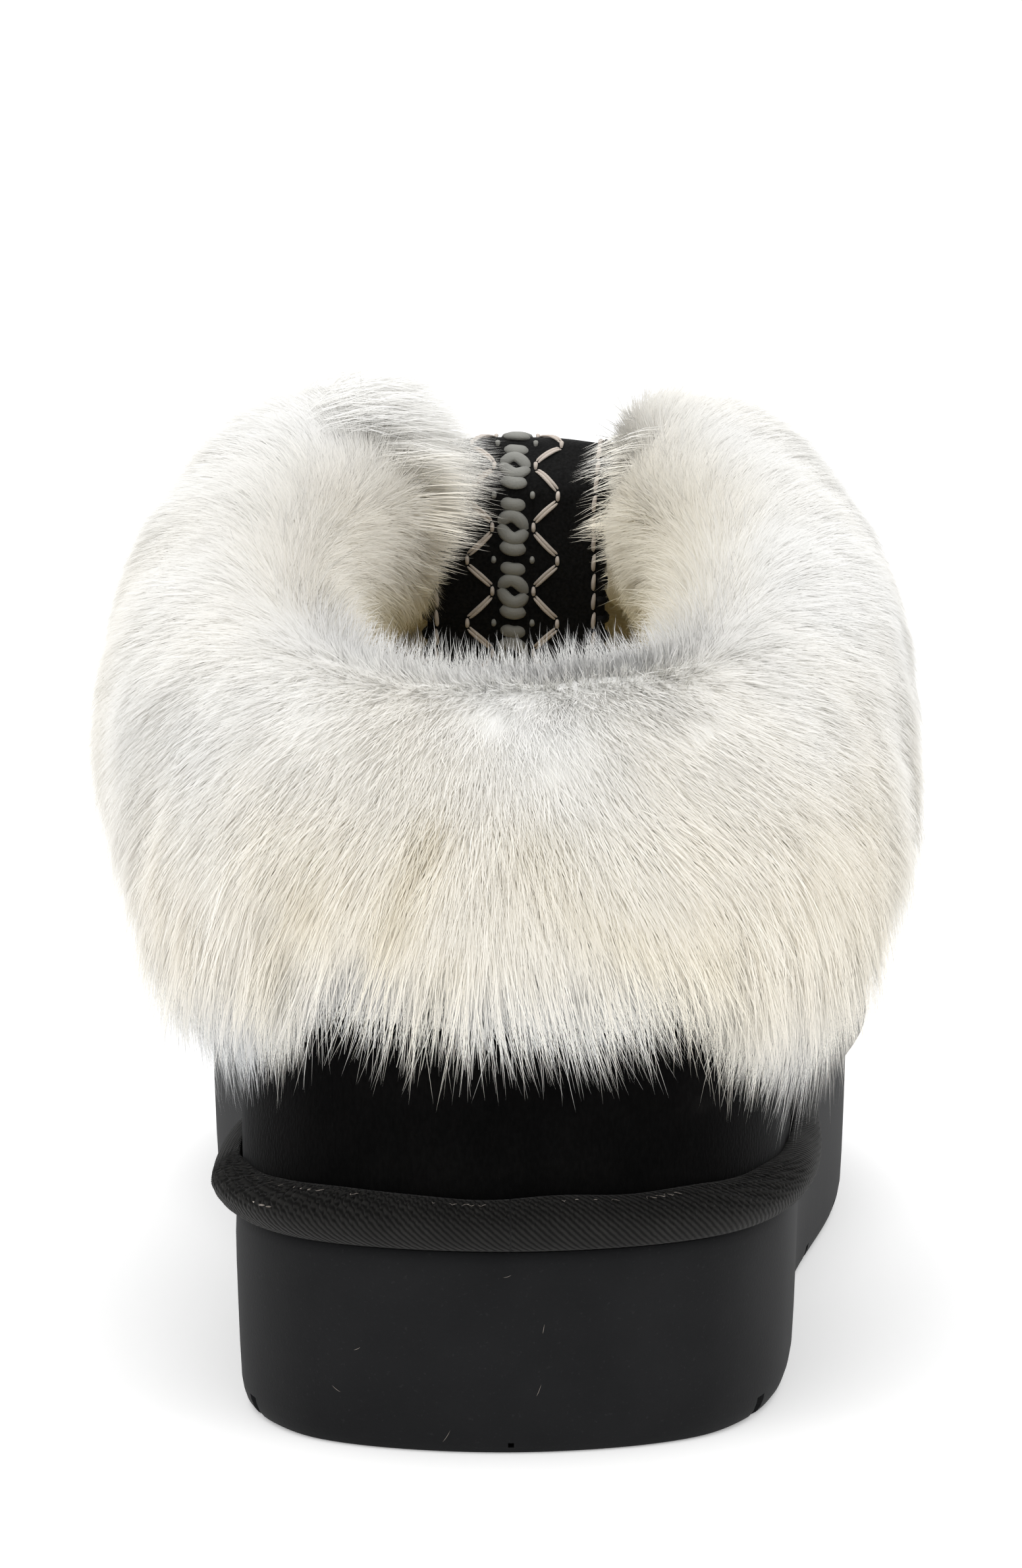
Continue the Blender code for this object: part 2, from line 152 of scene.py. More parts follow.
def path_length(points):
    """How far along a row of points each one lies from the first."""
    return np.concatenate([[0], np.cumsum(np.linalg.norm(np.diff(points, axis=0), axis=1))])


def ripple(points, size, seed):
    """Smooth noise from about -1 to 1 whose swells are about size across."""
    rng = np.random.default_rng(seed)
    total = np.zeros(points.shape[:-1])
    for _ in range(7):
        way = unit(rng.normal(size=3)) * rng.uniform(0.6, 1.5) * math.pi / size
        total += np.sin(points @ way + rng.uniform(0, 2 * math.pi))
    return total / 3.2


# The last's surfaces

SIZES = np.array(LAST, float)
SPOTS = np.stack([SIZES[:, 1] * BALL_WIDTH / 2, SIZES[:, 0] * LENGTH], -1)
STEPS = np.linalg.norm(np.roll(SPOTS, -1, axis=0) - SPOTS, axis=1)
KNOTS = np.concatenate([[0], np.cumsum(STEPS)])
ROUND = KNOTS[-1]
THROAT = KNOTS[TOE_ROW]
SLOPES = (np.roll(SIZES, -1, axis=0) - np.roll(SIZES, 1, axis=0)) / (STEPS + np.roll(STEPS, 1))[:, None]


def section(distance):
    """The last's sizes at distances round it, on a smooth closed curve through the rows."""
    distance = np.mod(distance, ROUND)
    row = np.clip(np.searchsorted(KNOTS, distance, side="right") - 1, 0, len(LAST) - 1)
    after = (row + 1) % len(LAST)
    span = STEPS[row][..., None]
    t = (distance - KNOTS[row])[..., None] / span
    sizes = (
        (2 * t**3 - 3 * t**2 + 1) * SIZES[row]
        + (t**3 - 2 * t**2 + t) * SLOPES[row] * span
        + (3 * t**2 - 2 * t**3) * SIZES[after]
        + (t**3 - t**2) * SLOPES[after] * span
    )
    return Section(*np.moveaxis(sizes, -1, 0))


def outline(distance):
    sizes = section(distance)
    return np.stack([sizes.side * BALL_WIDTH / 2, sizes.along * LENGTH, 0 * sizes.side], -1)


def edge(distance, inset=0.0):
    """Points of the outsole's outline, moved in by inset, and the way out of the shoe there."""
    step = 0.5 * MM
    forward = unit(outline(distance + step) - outline(distance - step))
    outward = np.cross(forward, UP)
    return outline(distance) - outward * inset, outward


def toe_lift(along):
    share = np.maximum(0.0, (along - SPRING_START) / (LENGTH - SPRING_START))
    return TOE_SPRING * share * share


def sole_top(along):
    return SOLE_HEIGHT + toe_lift(along)


def upper_point(distance, share):
    """The upper's outer face, at a share of the way from the sole to the collar."""
    sizes = section(distance)
    base, outward = edge(distance, UPPER_INSET)
    base = base + UP * (sole_top(base[..., 1]) + GAP)[..., None]
    height = HEEL_HEIGHT + sizes.rim_rise * (INSTEP_HEIGHT - HEEL_HEIGHT)
    rim = np.stack([sizes.rim_side * COLLAR_WIDTH / 2, sizes.rim_along * LENGTH, height], -1)
    away = unit((base - rim) * (1, 1, 0))
    from_sole = base + (UP * sizes.wall[..., None] + outward * sizes.flare[..., None]) * MM
    from_rim = rim + (away * sizes.reach[..., None] - UP * sizes.drop[..., None]) * MM
    t = np.asarray(share, float)[..., None]
    rest = 1 - t
    return base * rest**3 + from_sole * 3 * rest**2 * t + from_rim * 3 * rest * t**2 + rim * t**3


def upper_normal(distance, share):
    step = 1 * MM
    nudge = 0.01
    along = upper_point(distance + step, share) - upper_point(distance - step, share)
    up = upper_point(distance, np.minimum(1.0, share + nudge)) - upper_point(
        distance, np.maximum(0.0, share - nudge)
    )
    return unit(np.cross(along, up))


FACE_COLUMNS = 720
FACE_STEPS = 40
FACE_DEPTHS = np.linspace(0, 80 * MM, 161)


def share_table():
    """For each place round the shoe, the share of the wall's height at each depth below the collar."""
    columns = np.arange(FACE_COLUMNS) * ROUND / FACE_COLUMNS
    shares = np.linspace(1, 0, FACE_STEPS + 1)
    points = upper_point(np.repeat(columns[:, None], len(shares), 1), np.tile(shares, (len(columns), 1)))
    steps = np.linalg.norm(np.diff(points, axis=1), axis=2)
    gone = np.concatenate([np.zeros((len(columns), 1)), np.cumsum(steps, axis=1)], axis=1)
    return np.array([np.interp(FACE_DEPTHS, line, shares) for line in gone])


SHARES = share_table()
NEARLY_NONE = 1e-6


def lookup(table, column, row):
    """Values of a table that is closed along its first axis, between its columns and rows."""
    column = np.asarray(column, float)
    row = np.clip(np.asarray(row, float), 0, table.shape[1] - 1 - NEARLY_NONE)
    left, low = np.floor(column).astype(int), np.floor(row).astype(int)
    extra = (1,) * (table.ndim - 2)
    a = (column - left).reshape(column.shape + extra)
    b = (row - low).reshape(row.shape + extra)
    left, right = left % table.shape[0], (left + 1) % table.shape[0]
    near = table[left, low] * (1 - b) + table[left, low + 1] * b
    far = table[right, low] * (1 - b) + table[right, low + 1] * b
    return near * (1 - a) + far * a


def rim_at(distance, below, out):
    """Points this far below the collar, or above it if negative, and this far out of the upper's face."""
    distance, below, out = np.broadcast_arrays(*(np.asarray(x, float) for x in (distance, below, out)))
    depth = np.maximum(below, 0.0)
    share = lookup(SHARES, distance / ROUND * FACE_COLUMNS, depth / FACE_DEPTHS[1])
    top = upper_point(distance, np.ones_like(distance))
    up = unit(top - upper_point(distance, np.full_like(distance, 1 - 1 / FACE_STEPS)))
    face = upper_point(distance, share) + up * np.maximum(-below, 0.0)[..., None]
    return face + upper_normal(distance, share) * out[..., None]


FINE_ROUND = np.linspace(0, ROUND, 1441)
RIM_GONE = path_length(upper_point(FINE_ROUND, np.ones_like(FINE_ROUND)))
THROAT_GONE = np.interp(THROAT, FINE_ROUND, RIM_GONE)


def spread(place, count):
    """Distances round the last that set count points of place at equal steps along their own loop."""
    gone = path_length(place(FINE_ROUND))
    return np.interp(np.arange(count) * gone[-1] / count, gone, FINE_ROUND)


def round_sole(count):
    """Distances round the last that set count points at equal steps along the outsole's edge."""
    return spread(lambda distance: edge(distance)[0], count)


def beside_throat(along_rim):
    """Distances round the last at these distances along the rim from the middle of the throat."""
    return np.interp(THROAT_GONE + along_rim, RIM_GONE, FINE_ROUND)


def fullness(distance, below, outside=True):
    """How much of the fur's depth stands here: 0 under the strap, 1 clear of it."""
    out = 0.0 if outside else -WALL - STRAP_ROOM
    middle = rim_at(np.full_like(distance, THROAT), below, out)
    beside = np.linalg.norm(rim_at(distance, below, out) - middle, axis=-1)
    clear = STRAP_WIDTH / 2 + STRAP_MARGIN
    return ease(clear, clear + STRAP_DIP, beside)


# Meshes

def grid_faces(rows, columns):
    """Quads between rows of points, where each row runs on from its last point to its first."""
    row, here = np.meshgrid(np.arange(rows - 1), np.arange(columns), indexing="ij")
    there = (here + 1) % columns
    low, high = row * columns, (row + 1) * columns
    return np.stack([low + here, low + there, high + there, high + here], -1).reshape(-1, 4)


def piece_of(name, points, faces, finish, replaced=(), tint=None, normals=None):
    """A piece of the shoe from arrays of points and faces, riding on the one body.

    tint: a colour at each point. normals: the way that the surface is shaded at each point."""
    mesh = bpy.data.meshes.new(name)
    mesh.vertices.add(len(points))
    mesh.vertices.foreach_set("co", (points + SHIFT).astype(np.float32).ravel())
    mesh.loops.add(faces.size)
    mesh.loops.foreach_set("vertex_index", faces.astype(np.int32).ravel())
    mesh.polygons.add(len(faces))
    mesh.polygons.foreach_set("loop_start", np.arange(0, faces.size, faces.shape[1], dtype=np.int32))
    mesh.update(calc_edges=True)
    mesh.shade_smooth()
    if normals is not None:
        mesh.normals_split_custom_set_from_vertices(normals.reshape(-1, 3))
    if tint is not None:
        colours = mesh.color_attributes.new("tint", "FLOAT_COLOR", "POINT")
        rgba = np.concatenate([tint, np.ones((len(tint), 1))], axis=1)
        colours.data.foreach_set("color", rgba.astype(np.float32).ravel())
    mesh.materials.append(finish)
    piece = bpy.data.objects.new(name, mesh)
    bpy.context.scene.collection.objects.link(piece)
    return dress(piece, replaced)


def dress(piece, replaced=()):
    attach(piece, "root")
    for node in replaced:
        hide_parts(node)
    return piece


def grid_piece(name, grid, finish, replaced=(), tint=None):
    faces = grid_faces(*grid.shape[:2])
    return piece_of(name, grid.reshape(-1, 3), faces, finish, replaced, tint)


class Soup:
    """Many small shapes gathered into one mesh."""

    def __init__(self):
        self.points = []
        self.faces = []
        self.tints = []
        self.count = 0

    def add(self, points, faces, tint):
        self.points.append(points)
        self.faces.append(faces + self.count)
        self.tints.append(np.broadcast_to(tint, points.shape))
        self.count += len(points)

    def piece(self, name, finish, slot, replaced):
        points, faces = np.concatenate(self.points), np.concatenate(self.faces)
        piece_of(name, points, faces, finish, replaced, np.concatenate(self.tints))


def tube(soup, path, radius, tint, up, sides=7, flat=1.0):
    """A thread along a path, with a radius at each point. flat: its height as a share of its width."""
    path = np.asarray(path, float)
    along = unit(np.gradient(path, axis=0))
    across = unit(np.cross(along, up))
    over = np.cross(across, along)
    turn = np.arange(sides) * 2 * math.pi / sides
    ring = across[:, None] * np.cos(turn)[:, None] + over[:, None] * np.sin(turn)[:, None] * flat
    points = path[:, None] + ring * np.asarray(radius, float)[:, None, None]
    soup.add(points.reshape(-1, 3), grid_faces(len(path), sides), tint)


# Materials

def new_finish(name, colour, roughness, specular, sheen=0.0, sheen_roughness=0.5):
    """A material, its node tree and its shader, with the values that are the same all over it."""
    made = bpy.data.materials.new(name)
    made.use_nodes = True
    tree = made.node_tree
    shader = tree.nodes["Principled BSDF"]
    shader.inputs["Base Color"].default_value = (*colour, 1)
    shader.inputs["Roughness"].default_value = roughness
    shader.inputs["Specular IOR Level"].default_value = specular
    shader.inputs["Sheen Weight"].default_value = sheen
    shader.inputs["Sheen Roughness"].default_value = sheen_roughness
    return made, tree, shader


def grey(level):
    return (level, level, level)


def noise(tree, size, detail=3.0, stretch=(1, 1, 1)):
    """A noise whose grains are about size across, in the shoe's own frame."""
    place = tree.nodes.new("ShaderNodeTexCoord")
    scale = tree.nodes.new("ShaderNodeMapping")
    scale.inputs["Scale"].default_value = stretch
    grain = tree.nodes.new("ShaderNodeTexNoise")
    grain.inputs["Scale"].default_value = 1 / size
    grain.inputs["Detail"].default_value = detail
    tree.links.new(place.outputs["Object"], scale.inputs["Vector"])
    tree.links.new(scale.outputs["Vector"], grain.inputs["Vector"])
    return grain.outputs["Fac"]


def ramp(tree, factor, stops):
    """A colour from a factor, through stops of (place, colour)."""
    node = tree.nodes.new("ShaderNodeValToRGB")
    while len(node.color_ramp.elements) < len(stops):
        node.color_ramp.elements.new(1.0)
    for element, (place, colour) in zip(node.color_ramp.elements, stops):
        element.position = place
        element.color = (*colour, 1)
    tree.links.new(factor, node.inputs["Fac"])
    return node.outputs["Color"]


def mixed(tree, kind, factor, first, second):
    node = tree.nodes.new("ShaderNodeMix")
    node.data_type = "RGBA"
    node.blend_type = kind
    for socket, value in (("Factor", factor), ("A", first), ("B", second)):
        slot = [s for s in node.inputs if s.name == socket and s.enabled][0]
        if isinstance(value, (int, float)):
            slot.default_value = value
        elif isinstance(value, tuple):
            slot.default_value = (*value, 1)
        else:
            tree.links.new(value, slot)
    return [s for s in node.outputs if s.enabled][0]


def bump(tree, shader, height, depth, strength=1.0):
    node = tree.nodes.new("ShaderNodeBump")
    node.inputs["Strength"].default_value = strength
    node.inputs["Distance"].default_value = depth
    tree.links.new(height, node.inputs["Height"])
    tree.links.new(node.outputs["Normal"], shader.inputs["Normal"])


def attribute(tree, name, output="Color"):
    node = tree.nodes.new("ShaderNodeAttribute")
    node.attribute_name = name
    return node.outputs[output]


def foam_finish():
    made, tree, shader = new_finish("black_foam", (0.013, 0.0133, 0.0143), 0.7, 0.16)
    dark, pale = (0.0043, 0.0046, 0.0053), (0.0084, 0.0087, 0.0096)
    cloud = ramp(tree, noise(tree, 16 * MM, 4), [(0.3, dark), (0.72, pale)])
    specks = ramp(tree, noise(tree, 0.5 * MM, 1), [(0.66, grey(0)), (0.8, grey(0.006))])
    tree.links.new(mixed(tree, "ADD", 1.0, cloud, specks), shader.inputs["Base Color"])
    bump(tree, shader, noise(tree, 0.45 * MM, 2), 0.05 * MM, 0.6)
    return made


def tape_finish():
    """Twill tape: fine slanting ribs, on the tape's own coordinates in millimetres."""
    made, tree, shader = new_finish("black_twill", (0.021, 0.0205, 0.0195), 0.8, 0.14, 0.05, 0.4)
    place = tree.nodes.new("ShaderNodeUVMap")
    place.uv_map = "tape"
    ribs = tree.nodes.new("ShaderNodeTexWave")
    ribs.wave_type = "BANDS"
    ribs.bands_direction = "DIAGONAL"
    ribs.inputs["Scale"].default_value = 0.62
    ribs.inputs["Distortion"].default_value = 0.7
    ribs.inputs["Detail Scale"].default_value = 1.5
    tree.links.new(place.outputs["UV"], ribs.inputs["Vector"])
    dark, pale = (0.004, 0.0039, 0.0036), (0.019, 0.0185, 0.0174)
    rib = ramp(tree, ribs.outputs["Fac"], [(0.1, dark), (0.8, pale)])
    cloud = ramp(tree, noise(tree, 6 * MM, 4), [(0.3, grey(0.78)), (0.7, grey(1.12))])
    tree.links.new(mixed(tree, "MULTIPLY", 1.0, rib, cloud), shader.inputs["Base Color"])
    bump(tree, shader, ribs.outputs["Fac"], 0.12 * MM, 0.9)
    return made


def suede_finish():
    """Suede with a fine upright nap, and scuffs where its own vertices are tinted."""
    made, tree, shader = new_finish("black_suede", grey(0.005), 0.95, 0.03, 0.16, 0.35)
    shader.inputs["Sheen Tint"].default_value = (0.75, 0.76, 0.78, 1)
    dark, pale, scuffed = grey(0.0015), (0.0032, 0.0031, 0.003), (0.035, 0.033, 0.031)
    cloud = ramp(tree, noise(tree, 9 * MM, 5), [(0.3, dark), (0.75, pale)])
    upright = noise(tree, 0.5 * MM, 2, (1, 1, 0.45))
    nap = ramp(tree, upright, [(0.35, grey(0.75)), (0.75, grey(1.3))])
    napped = mixed(tree, "MULTIPLY", 1.0, cloud, nap)
    worn = mixed(tree, "MIX", attribute(tree, "tint", "Fac"), napped, scuffed)
    tree.links.new(worn, shader.inputs["Base Color"])
    bump(tree, shader, noise(tree, 0.4 * MM, 2, (1, 1, 0.5)), 0.12 * MM, 0.7)
    return made


def fleece_finish():
    made, tree, shader = new_finish("tan_fleece", (0.62, 0.53, 0.33), 0.9, 0.1, 0.25, 0.5)
    curls = noise(tree, 2.2 * MM, 4)
    colour = ramp(tree, curls, [(0.25, (0.76, 0.65, 0.40)), (0.7, (0.93, 0.84, 0.60))])
    tree.links.new(colour, shader.inputs["Base Color"])
    bump(tree, shader, curls, 1.2 * MM, 0.8)
    return made


def tinted_finish(name, roughness, sheen=0.0):
    """Hair or thread that takes its colour from its own vertices, as new_finish gives it."""
    made, tree, shader = new_finish(name, (0.8, 0.78, 0.72), roughness, 0.12, sheen, 0.4)
    tree.links.new(attribute(tree, "tint"), shader.inputs["Base Color"])
    return made, tree, shader


def ground_finish():
    made, tree, shader = tinted_finish("fur_ground", 0.95)
    bump(tree, shader, noise(tree, 0.8 * MM, 3, (1, 1, 0.3)), 0.5 * MM, 0.5)
    return made


def webbing_finish():
    made, tree, shader = new_finish("black_webbing", grey(0.008), 0.85, 0.08, 0.08, 0.4)
    weave = noise(tree, 0.45 * MM, 2)
    colour = ramp(tree, weave, [(0.3, grey(0.004)), (0.75, grey(0.012))])
    tree.links.new(colour, shader.inputs["Base Color"])
    bump(tree, shader, weave, 0.12 * MM, 0.8)
    return made


def thread_finish():
    made, tree, shader = tinted_finish("thread", 0.6, 0.1)
    bump(tree, shader, noise(tree, 0.28 * MM, 2), 0.1 * MM, 0.6)
    return made


# Thread colours

THREAD_WHITE = np.array((0.66, 0.585, 0.52))
THREAD_GREY = np.array((0.27, 0.27, 0.25))
THREAD_BLACK = np.array((0.007, 0.007, 0.007))


# Outsole

SOLE_COLUMNS = 320
SHARP_EDGE = math.radians(40)
SoleRow = namedtuple("SoleRow", "rise inset")
SOLE_PROFILE = (
    SoleRow(0.000, 2.6),
    SoleRow(0.012, 2.0),
    SoleRow(0.040, 1.40),
    SoleRow(0.080, 1.00),
    SoleRow(0.140, 0.70),
    SoleRow(0.300, 0.46),
    SoleRow(0.500, 0.26),
    SoleRow(0.700, 0.08),
    SoleRow(0.860, 0.00),
    SoleRow(0.940, 0.08),
    SoleRow(0.985, 0.34),
    SoleRow(1.000, 0.60),
)


def outline_ring(distance, inset, rise, height):
    """A ring along the outsole's outline, moved in by inset, at a rise over the height along the shoe."""
    spot, _ = edge(distance, inset)
    return spot + UP * (height(spot[:, 1]) + rise)[:, None]


def capped(columns, rows):
    """Quads that close the first and last ring of a loft, in strips from one side to the other."""
    strips = []
    for start, turned in ((0, True), ((rows - 1) * columns, False)):
        for i in range(columns // 2 - 1):
            left = (start + i, start + i + 1)
            right = (start + (columns - i - 1) % columns, start + (columns - i) % columns)
            quad = (left[0], left[1], right[0], right[1])
            strips.append(quad[::-1] if turned else quad)
    return strips


def groove_box(place, size):
    bm = bmesh.new()
    bmesh.ops.create_cube(bm, size=1)
    for vert in bm.verts:
        vert.co = Vector(vert.co) * Vector(size) + Vector(place)
    mesh = bpy.data.meshes.new("groove")
    bm.to_mesh(mesh)
    bm.free()
    box = bpy.data.objects.new("groove", mesh)
    bpy.context.scene.collection.objects.link(box)
    box.location = SHIFT
    return box


def make_outsole():
    """The moulded sole with its grooves cut across the tread, and the notch at the heel."""
    distance = round_sole(SOLE_COLUMNS)
    rings = [outline_ring(distance, row.inset * MM, row.rise * SOLE_HEIGHT, toe_lift) for row in SOLE_PROFILE]
    bm = bmesh.new()
    verts = [bm.verts.new(point + SHIFT) for ring in rings for point in ring]
    for quad in [*grid_faces(len(rings), SOLE_COLUMNS), *capped(SOLE_COLUMNS, len(rings))]:
        corners = list(dict.fromkeys(verts[i] for i in quad))
        bm.faces.new(corners)
    bmesh.ops.recalc_face_normals(bm, faces=bm.faces)
    mesh = bpy.data.meshes.new("sole_blank")
    bm.to_mesh(mesh)
    bm.free()
    blank = bpy.data.objects.new("sole_blank", mesh)
    bpy.context.scene.collection.objects.link(blank)
    boxes = []
    for number in range(GROOVE_COUNT):
        along = GROOVE_START + number * GROOVE_PITCH
        size = (2 * BALL_WIDTH, GROOVE_WIDTH, 2 * GROOVE_DEPTH)
        boxes.append(groove_box((0, along, float(toe_lift(along))), size))
    boxes.append(groove_box((0, 0, NOTCH_RISE), (NOTCH_WIDTH, 2 * NOTCH_DEPTH, NOTCH_HEIGHT)))
    for box in boxes:
        cut = blank.modifiers.new("groove", "BOOLEAN")
        cut.operation = "DIFFERENCE"
        cut.object = box
    ready = blank.evaluated_get(bpy.context.evaluated_depsgraph_get())
    cut_mesh = bpy.data.meshes.new_from_object(ready)
    for spare in [blank, *boxes]:
        bpy.data.objects.remove(spare)
    cut_mesh.name = "foam_outsole"
    cut_mesh.materials.clear()
    cut_mesh.materials.append(foam_finish())
    cut_mesh.shade_smooth()
    cut_mesh.set_sharp_from_angle(angle=SHARP_EDGE)
    piece = bpy.data.objects.new("foam_outsole", cut_mesh)
    bpy.context.scene.collection.objects.link(piece)
    dress(piece, ["outsole"])


# Stray hairs on the sole's rear wall. side, rise: where a hair lies, and long: its length, in millimetres.
# turn: its slope, in radians.
Lint = namedtuple("Lint", "side rise long turn")
LINT = (
    Lint(-8.9, 2.4, 2.2, 1.0),
    Lint(4.4, 17.6, 1.4, 1.4),
    Lint(-0.5, 25.0, 1.2, 0.3),
    Lint(-24.0, 8.0, 1.4, -0.6),
    Lint(3.8, 9.0, 1.8, 1.2),
    Lint(-21.0, 14.0, 1.0, 0.5),
)
LINT_HALF = 0.03 * MM
LINT_LIFT = 0.06 * MM
LINT_BEND = 0.3
LINT_STEPS = 7
LINT_TINT = THREAD_WHITE * 0.4
HEEL_REACH = 45 * MM
HEEL_STEPS = 181


def make_lint():
    """A few of the fur's hairs that cling to the sole."""
    soup = Soup()
    rises, insets = np.array(SOLE_PROFILE).T
    near = np.linspace(-HEEL_REACH, HEEL_REACH, HEEL_STEPS)
    sides = edge(near % ROUND)[0][:, 0]
    order = np.argsort(sides)
    share = np.linspace(-0.5, 0.5, LINT_STEPS)
    for lint in LINT:
        side = (lint.side + lint.long * share * math.cos(lint.turn)) * MM
        rise = (lint.rise + lint.long * (share * math.sin(lint.turn) + LINT_BEND * share**2)) * MM
        distance = np.interp(side, sides[order], near[order]) % ROUND
        spot, out = edge(distance, np.interp(rise / SOLE_HEIGHT, rises, insets)[:, None] * MM)
        path = spot + UP * rise[:, None] + out * LINT_LIFT
        radius = LINT_HALF * (1.05 - (2 * share) ** 2)
        tube(soup, path, radius, LINT_TINT, UP, sides=5)
    soup.piece("sole_lint", thread_finish(), "outsole", ["outsole"])


# Binding

TAPE_COLUMNS = 2400
TAPE_RIB = 1.25 * MM
TAPE_RELIEF = 0.2 * MM
TAPE_SLANT = 0.55
TAPE_PUFF = 0.35 * MM
PLAIN_RELIEF = 0.25
CORNER_RELIEF = 3.2
FOOT_STEPS = 26

# The bend, in radians a metre, where the tape's gathers begin and where they are full
GATHER_FROM = 8
GATHER_FULL = 26

BindingRow = namedtuple("BindingRow", "rise out")
BINDING_PROFILE = (
    BindingRow(0.00, 0.00),
    BindingRow(0.00, 0.38),
    BindingRow(0.05, 0.62),
    BindingRow(0.14, 0.81),
    BindingRow(0.27, 0.95),
    BindingRow(0.42, 1.00),
    BindingRow(0.58, 0.96),
    BindingRow(0.72, 0.85),
    BindingRow(0.84, 0.66),
    BindingRow(0.94, 0.40),
    BindingRow(0.99, 0.16),
    BindingRow(1.00, 0.00),
)


def wall_above_foot(distance, height):
    """Points of the upper's outer face this far above the upper's foot."""
    shares = np.linspace(0, 0.5, FOOT_STEPS)
    points = upper_point(np.repeat(distance[:, None], FOOT_STEPS, 1), np.tile(shares, (len(distance), 1)))
    heights = points[..., 2] - points[:, :1, 2]
    share = np.array([np.interp(height, line, shares) for line in heights])
    return upper_point(distance, share)


def gathers(distance):
    """How strongly the tape is gathered: most where it turns a tight corner."""
    step = 6 * MM
    turn = edge(distance + step)[1] - edge(distance - step)[1]
    bend = np.linalg.norm(turn, axis=-1) / (2 * step)
    return ease(GATHER_FROM, GATHER_FULL, bend)


# Bits of pale sewing thread that show on the tape at the heel. row: their row in the tape's section. first,
# last: the sides between which they lie, and half: half a bit's width, in millimetres. count: how many.
Specks = namedtuple("Specks", "row first last count half")
SPECKS = (
    Specks(9, -36, -2, 20, 0.055),
    Specks(9, 5, 24, 12, 0.055),
    Specks(6, -36.5, -32, 4, 0.13),
)
SPECK_LIFT = np.array((0, -0.12, 0.10)) * MM
SPECK_TAPER = np.array((0.4, 1.0, 0.4))
HEEL_BACK = 40 * MM


def make_specks(grid):
    """The bits of sewing thread that the tape's upper edge and its left corner show."""
    rng = np.random.default_rng(60)
    soup = Soup()
    for specks in SPECKS:
        line = grid[specks.row]
        side = line[:, 0] / MM
        columns = np.flatnonzero((line[:, 1] < HEEL_BACK) & (side > specks.first) & (side < specks.last))
        for column in np.sort(rng.choice(columns[:-4], specks.count, replace=False)):
            path = line[column:column + len(SPECK_TAPER)] + SPECK_LIFT
            radius = specks.half * MM * SPECK_TAPER
            tube(soup, path, radius, THREAD_WHITE * rng.uniform(0.2, 0.6), UP, sides=5)
    soup.piece("tape_specks", thread_finish(), "binding", ["binding"])


def make_binding():
    """The rolled tape, with ribs across it that stand up where it turns a corner."""
    distance = round_sole(TAPE_COLUMNS)
    spots, outward = edge(distance)
    gone = path_length(spots)
    corner = gathers(distance)
    soft = ripple(spots, 24 * MM, 21)
    rings, tape = [], []
    across = 0.0
    for number, row in enumerate(BINDING_PROFILE):
        wall = wall_above_foot(distance, row.rise * BINDING_HEIGHT)
        slant = gone + across * TAPE_SLANT
        ribs = np.sin(2 * math.pi * slant / TAPE_RIB + 0.8 * soft)
        ribs = ribs + corner * (np.abs(ribs) - 0.6)
        inside = 0 < number < len(BINDING_PROFILE) - 1
        shown = math.sin(math.pi * min(1.0, row.out)) ** 0.5 if inside else 0.0
        upper_half = ease(0.3, 0.85, row.rise)
        strength = PLAIN_RELIEF + CORNER_RELIEF * corner * upper_half
        relief = TAPE_RELIEF * ribs * strength * (0.4 + 0.6 * shown)
        puff = TAPE_PUFF * soft * shown
        place = wall + outward * (GAP + row.out * BINDING_OUT + relief * (row.out > 0) + puff)[:, None]
        wobble = TAPE_PUFF * ripple(spots, 9 * MM, 22) * ease(0.4, 0.9, row.rise)
        place[:, 2] = sole_top(place[:, 1]) + GAP + row.rise * BINDING_HEIGHT + wobble
        rings.append(place)
        tape.append(np.stack([gone / MM, np.full_like(gone, across / MM)], -1))
        if number + 1 < len(BINDING_PROFILE):
            after = BINDING_PROFILE[number + 1]
            rise = (after.rise - row.rise) * BINDING_HEIGHT
            across += math.hypot(rise, (after.out - row.out) * BINDING_OUT)
    grid = np.array(rings + rings[:1])
    make_specks(grid)
    piece = grid_piece("tape_binding", grid, tape_finish(), ["binding"])
    flat = np.array(tape + tape[:1]).reshape(-1, 2)
    layer = piece.data.uv_layers.new(name="tape")
    corners = np.empty(len(piece.data.loops), dtype=np.int32)
    piece.data.loops.foreach_get("vertex_index", corners)
    layer.data.foreach_set("uv", flat[corners].astype(np.float32).ravel())


# Upper

UPPER_COLUMNS = 320
UPPER_ROWS = 64
INNER_ROWS = 16

# Soft creases pressed into the upper. along, side, rise: the middle, in millimetres in the last's frame.
# way: the direction it runs in, as x, y, z. half: half its length. width: from its middle to its edge.
# depth: how far in it goes, or out where negative.
Crease = namedtuple("Crease", "along side rise way half width depth")
CREASES = (
    Crease(176, 4, 96, (1.0, 0.10, -0.1), 34, 6.0, 1.5),
    Crease(186, 2, 92, (1.0, 0.06, -0.1), 38, 5.0, -0.9),
    Crease(196, -2, 86, (1.0, -0.04, -0.1), 36, 6.0, 1.3),
    Crease(168, 44, 62, (0.35, 0.5, -0.8), 20, 5.0, 1.1),
    Crease(186, 43, 58, (0.3, 0.4, -0.9), 18, 5.0, 0.9),
    Crease(178, -42, 60, (-0.3, 0.45, -0.85), 20, 5.0, 1.1),
    Crease(196, -40, 58, (-0.3, 0.35, -0.9), 16, 5.0, 0.9),
    Crease(34, 38, 50, (0.2, 0.5, -0.8), 14, 4.5, 0.8),
    Crease(52, 40, 47, (0.1, 0.7, -0.6), 16, 5.0, 0.8),
    Crease(40, -38, 49, (-0.2, 0.6, -0.7), 15, 4.5, 0.8),
    Crease(0, -14, 48, (0.9, 0.0, -0.35), 11, 4.0, 0.5),
    Crease(0, 17, 47, (0.9, 0.0, 0.4), 10, 4.0, 0.5),
)
SCUFF = np.array((26.5, 4.5, 46.5)) * MM
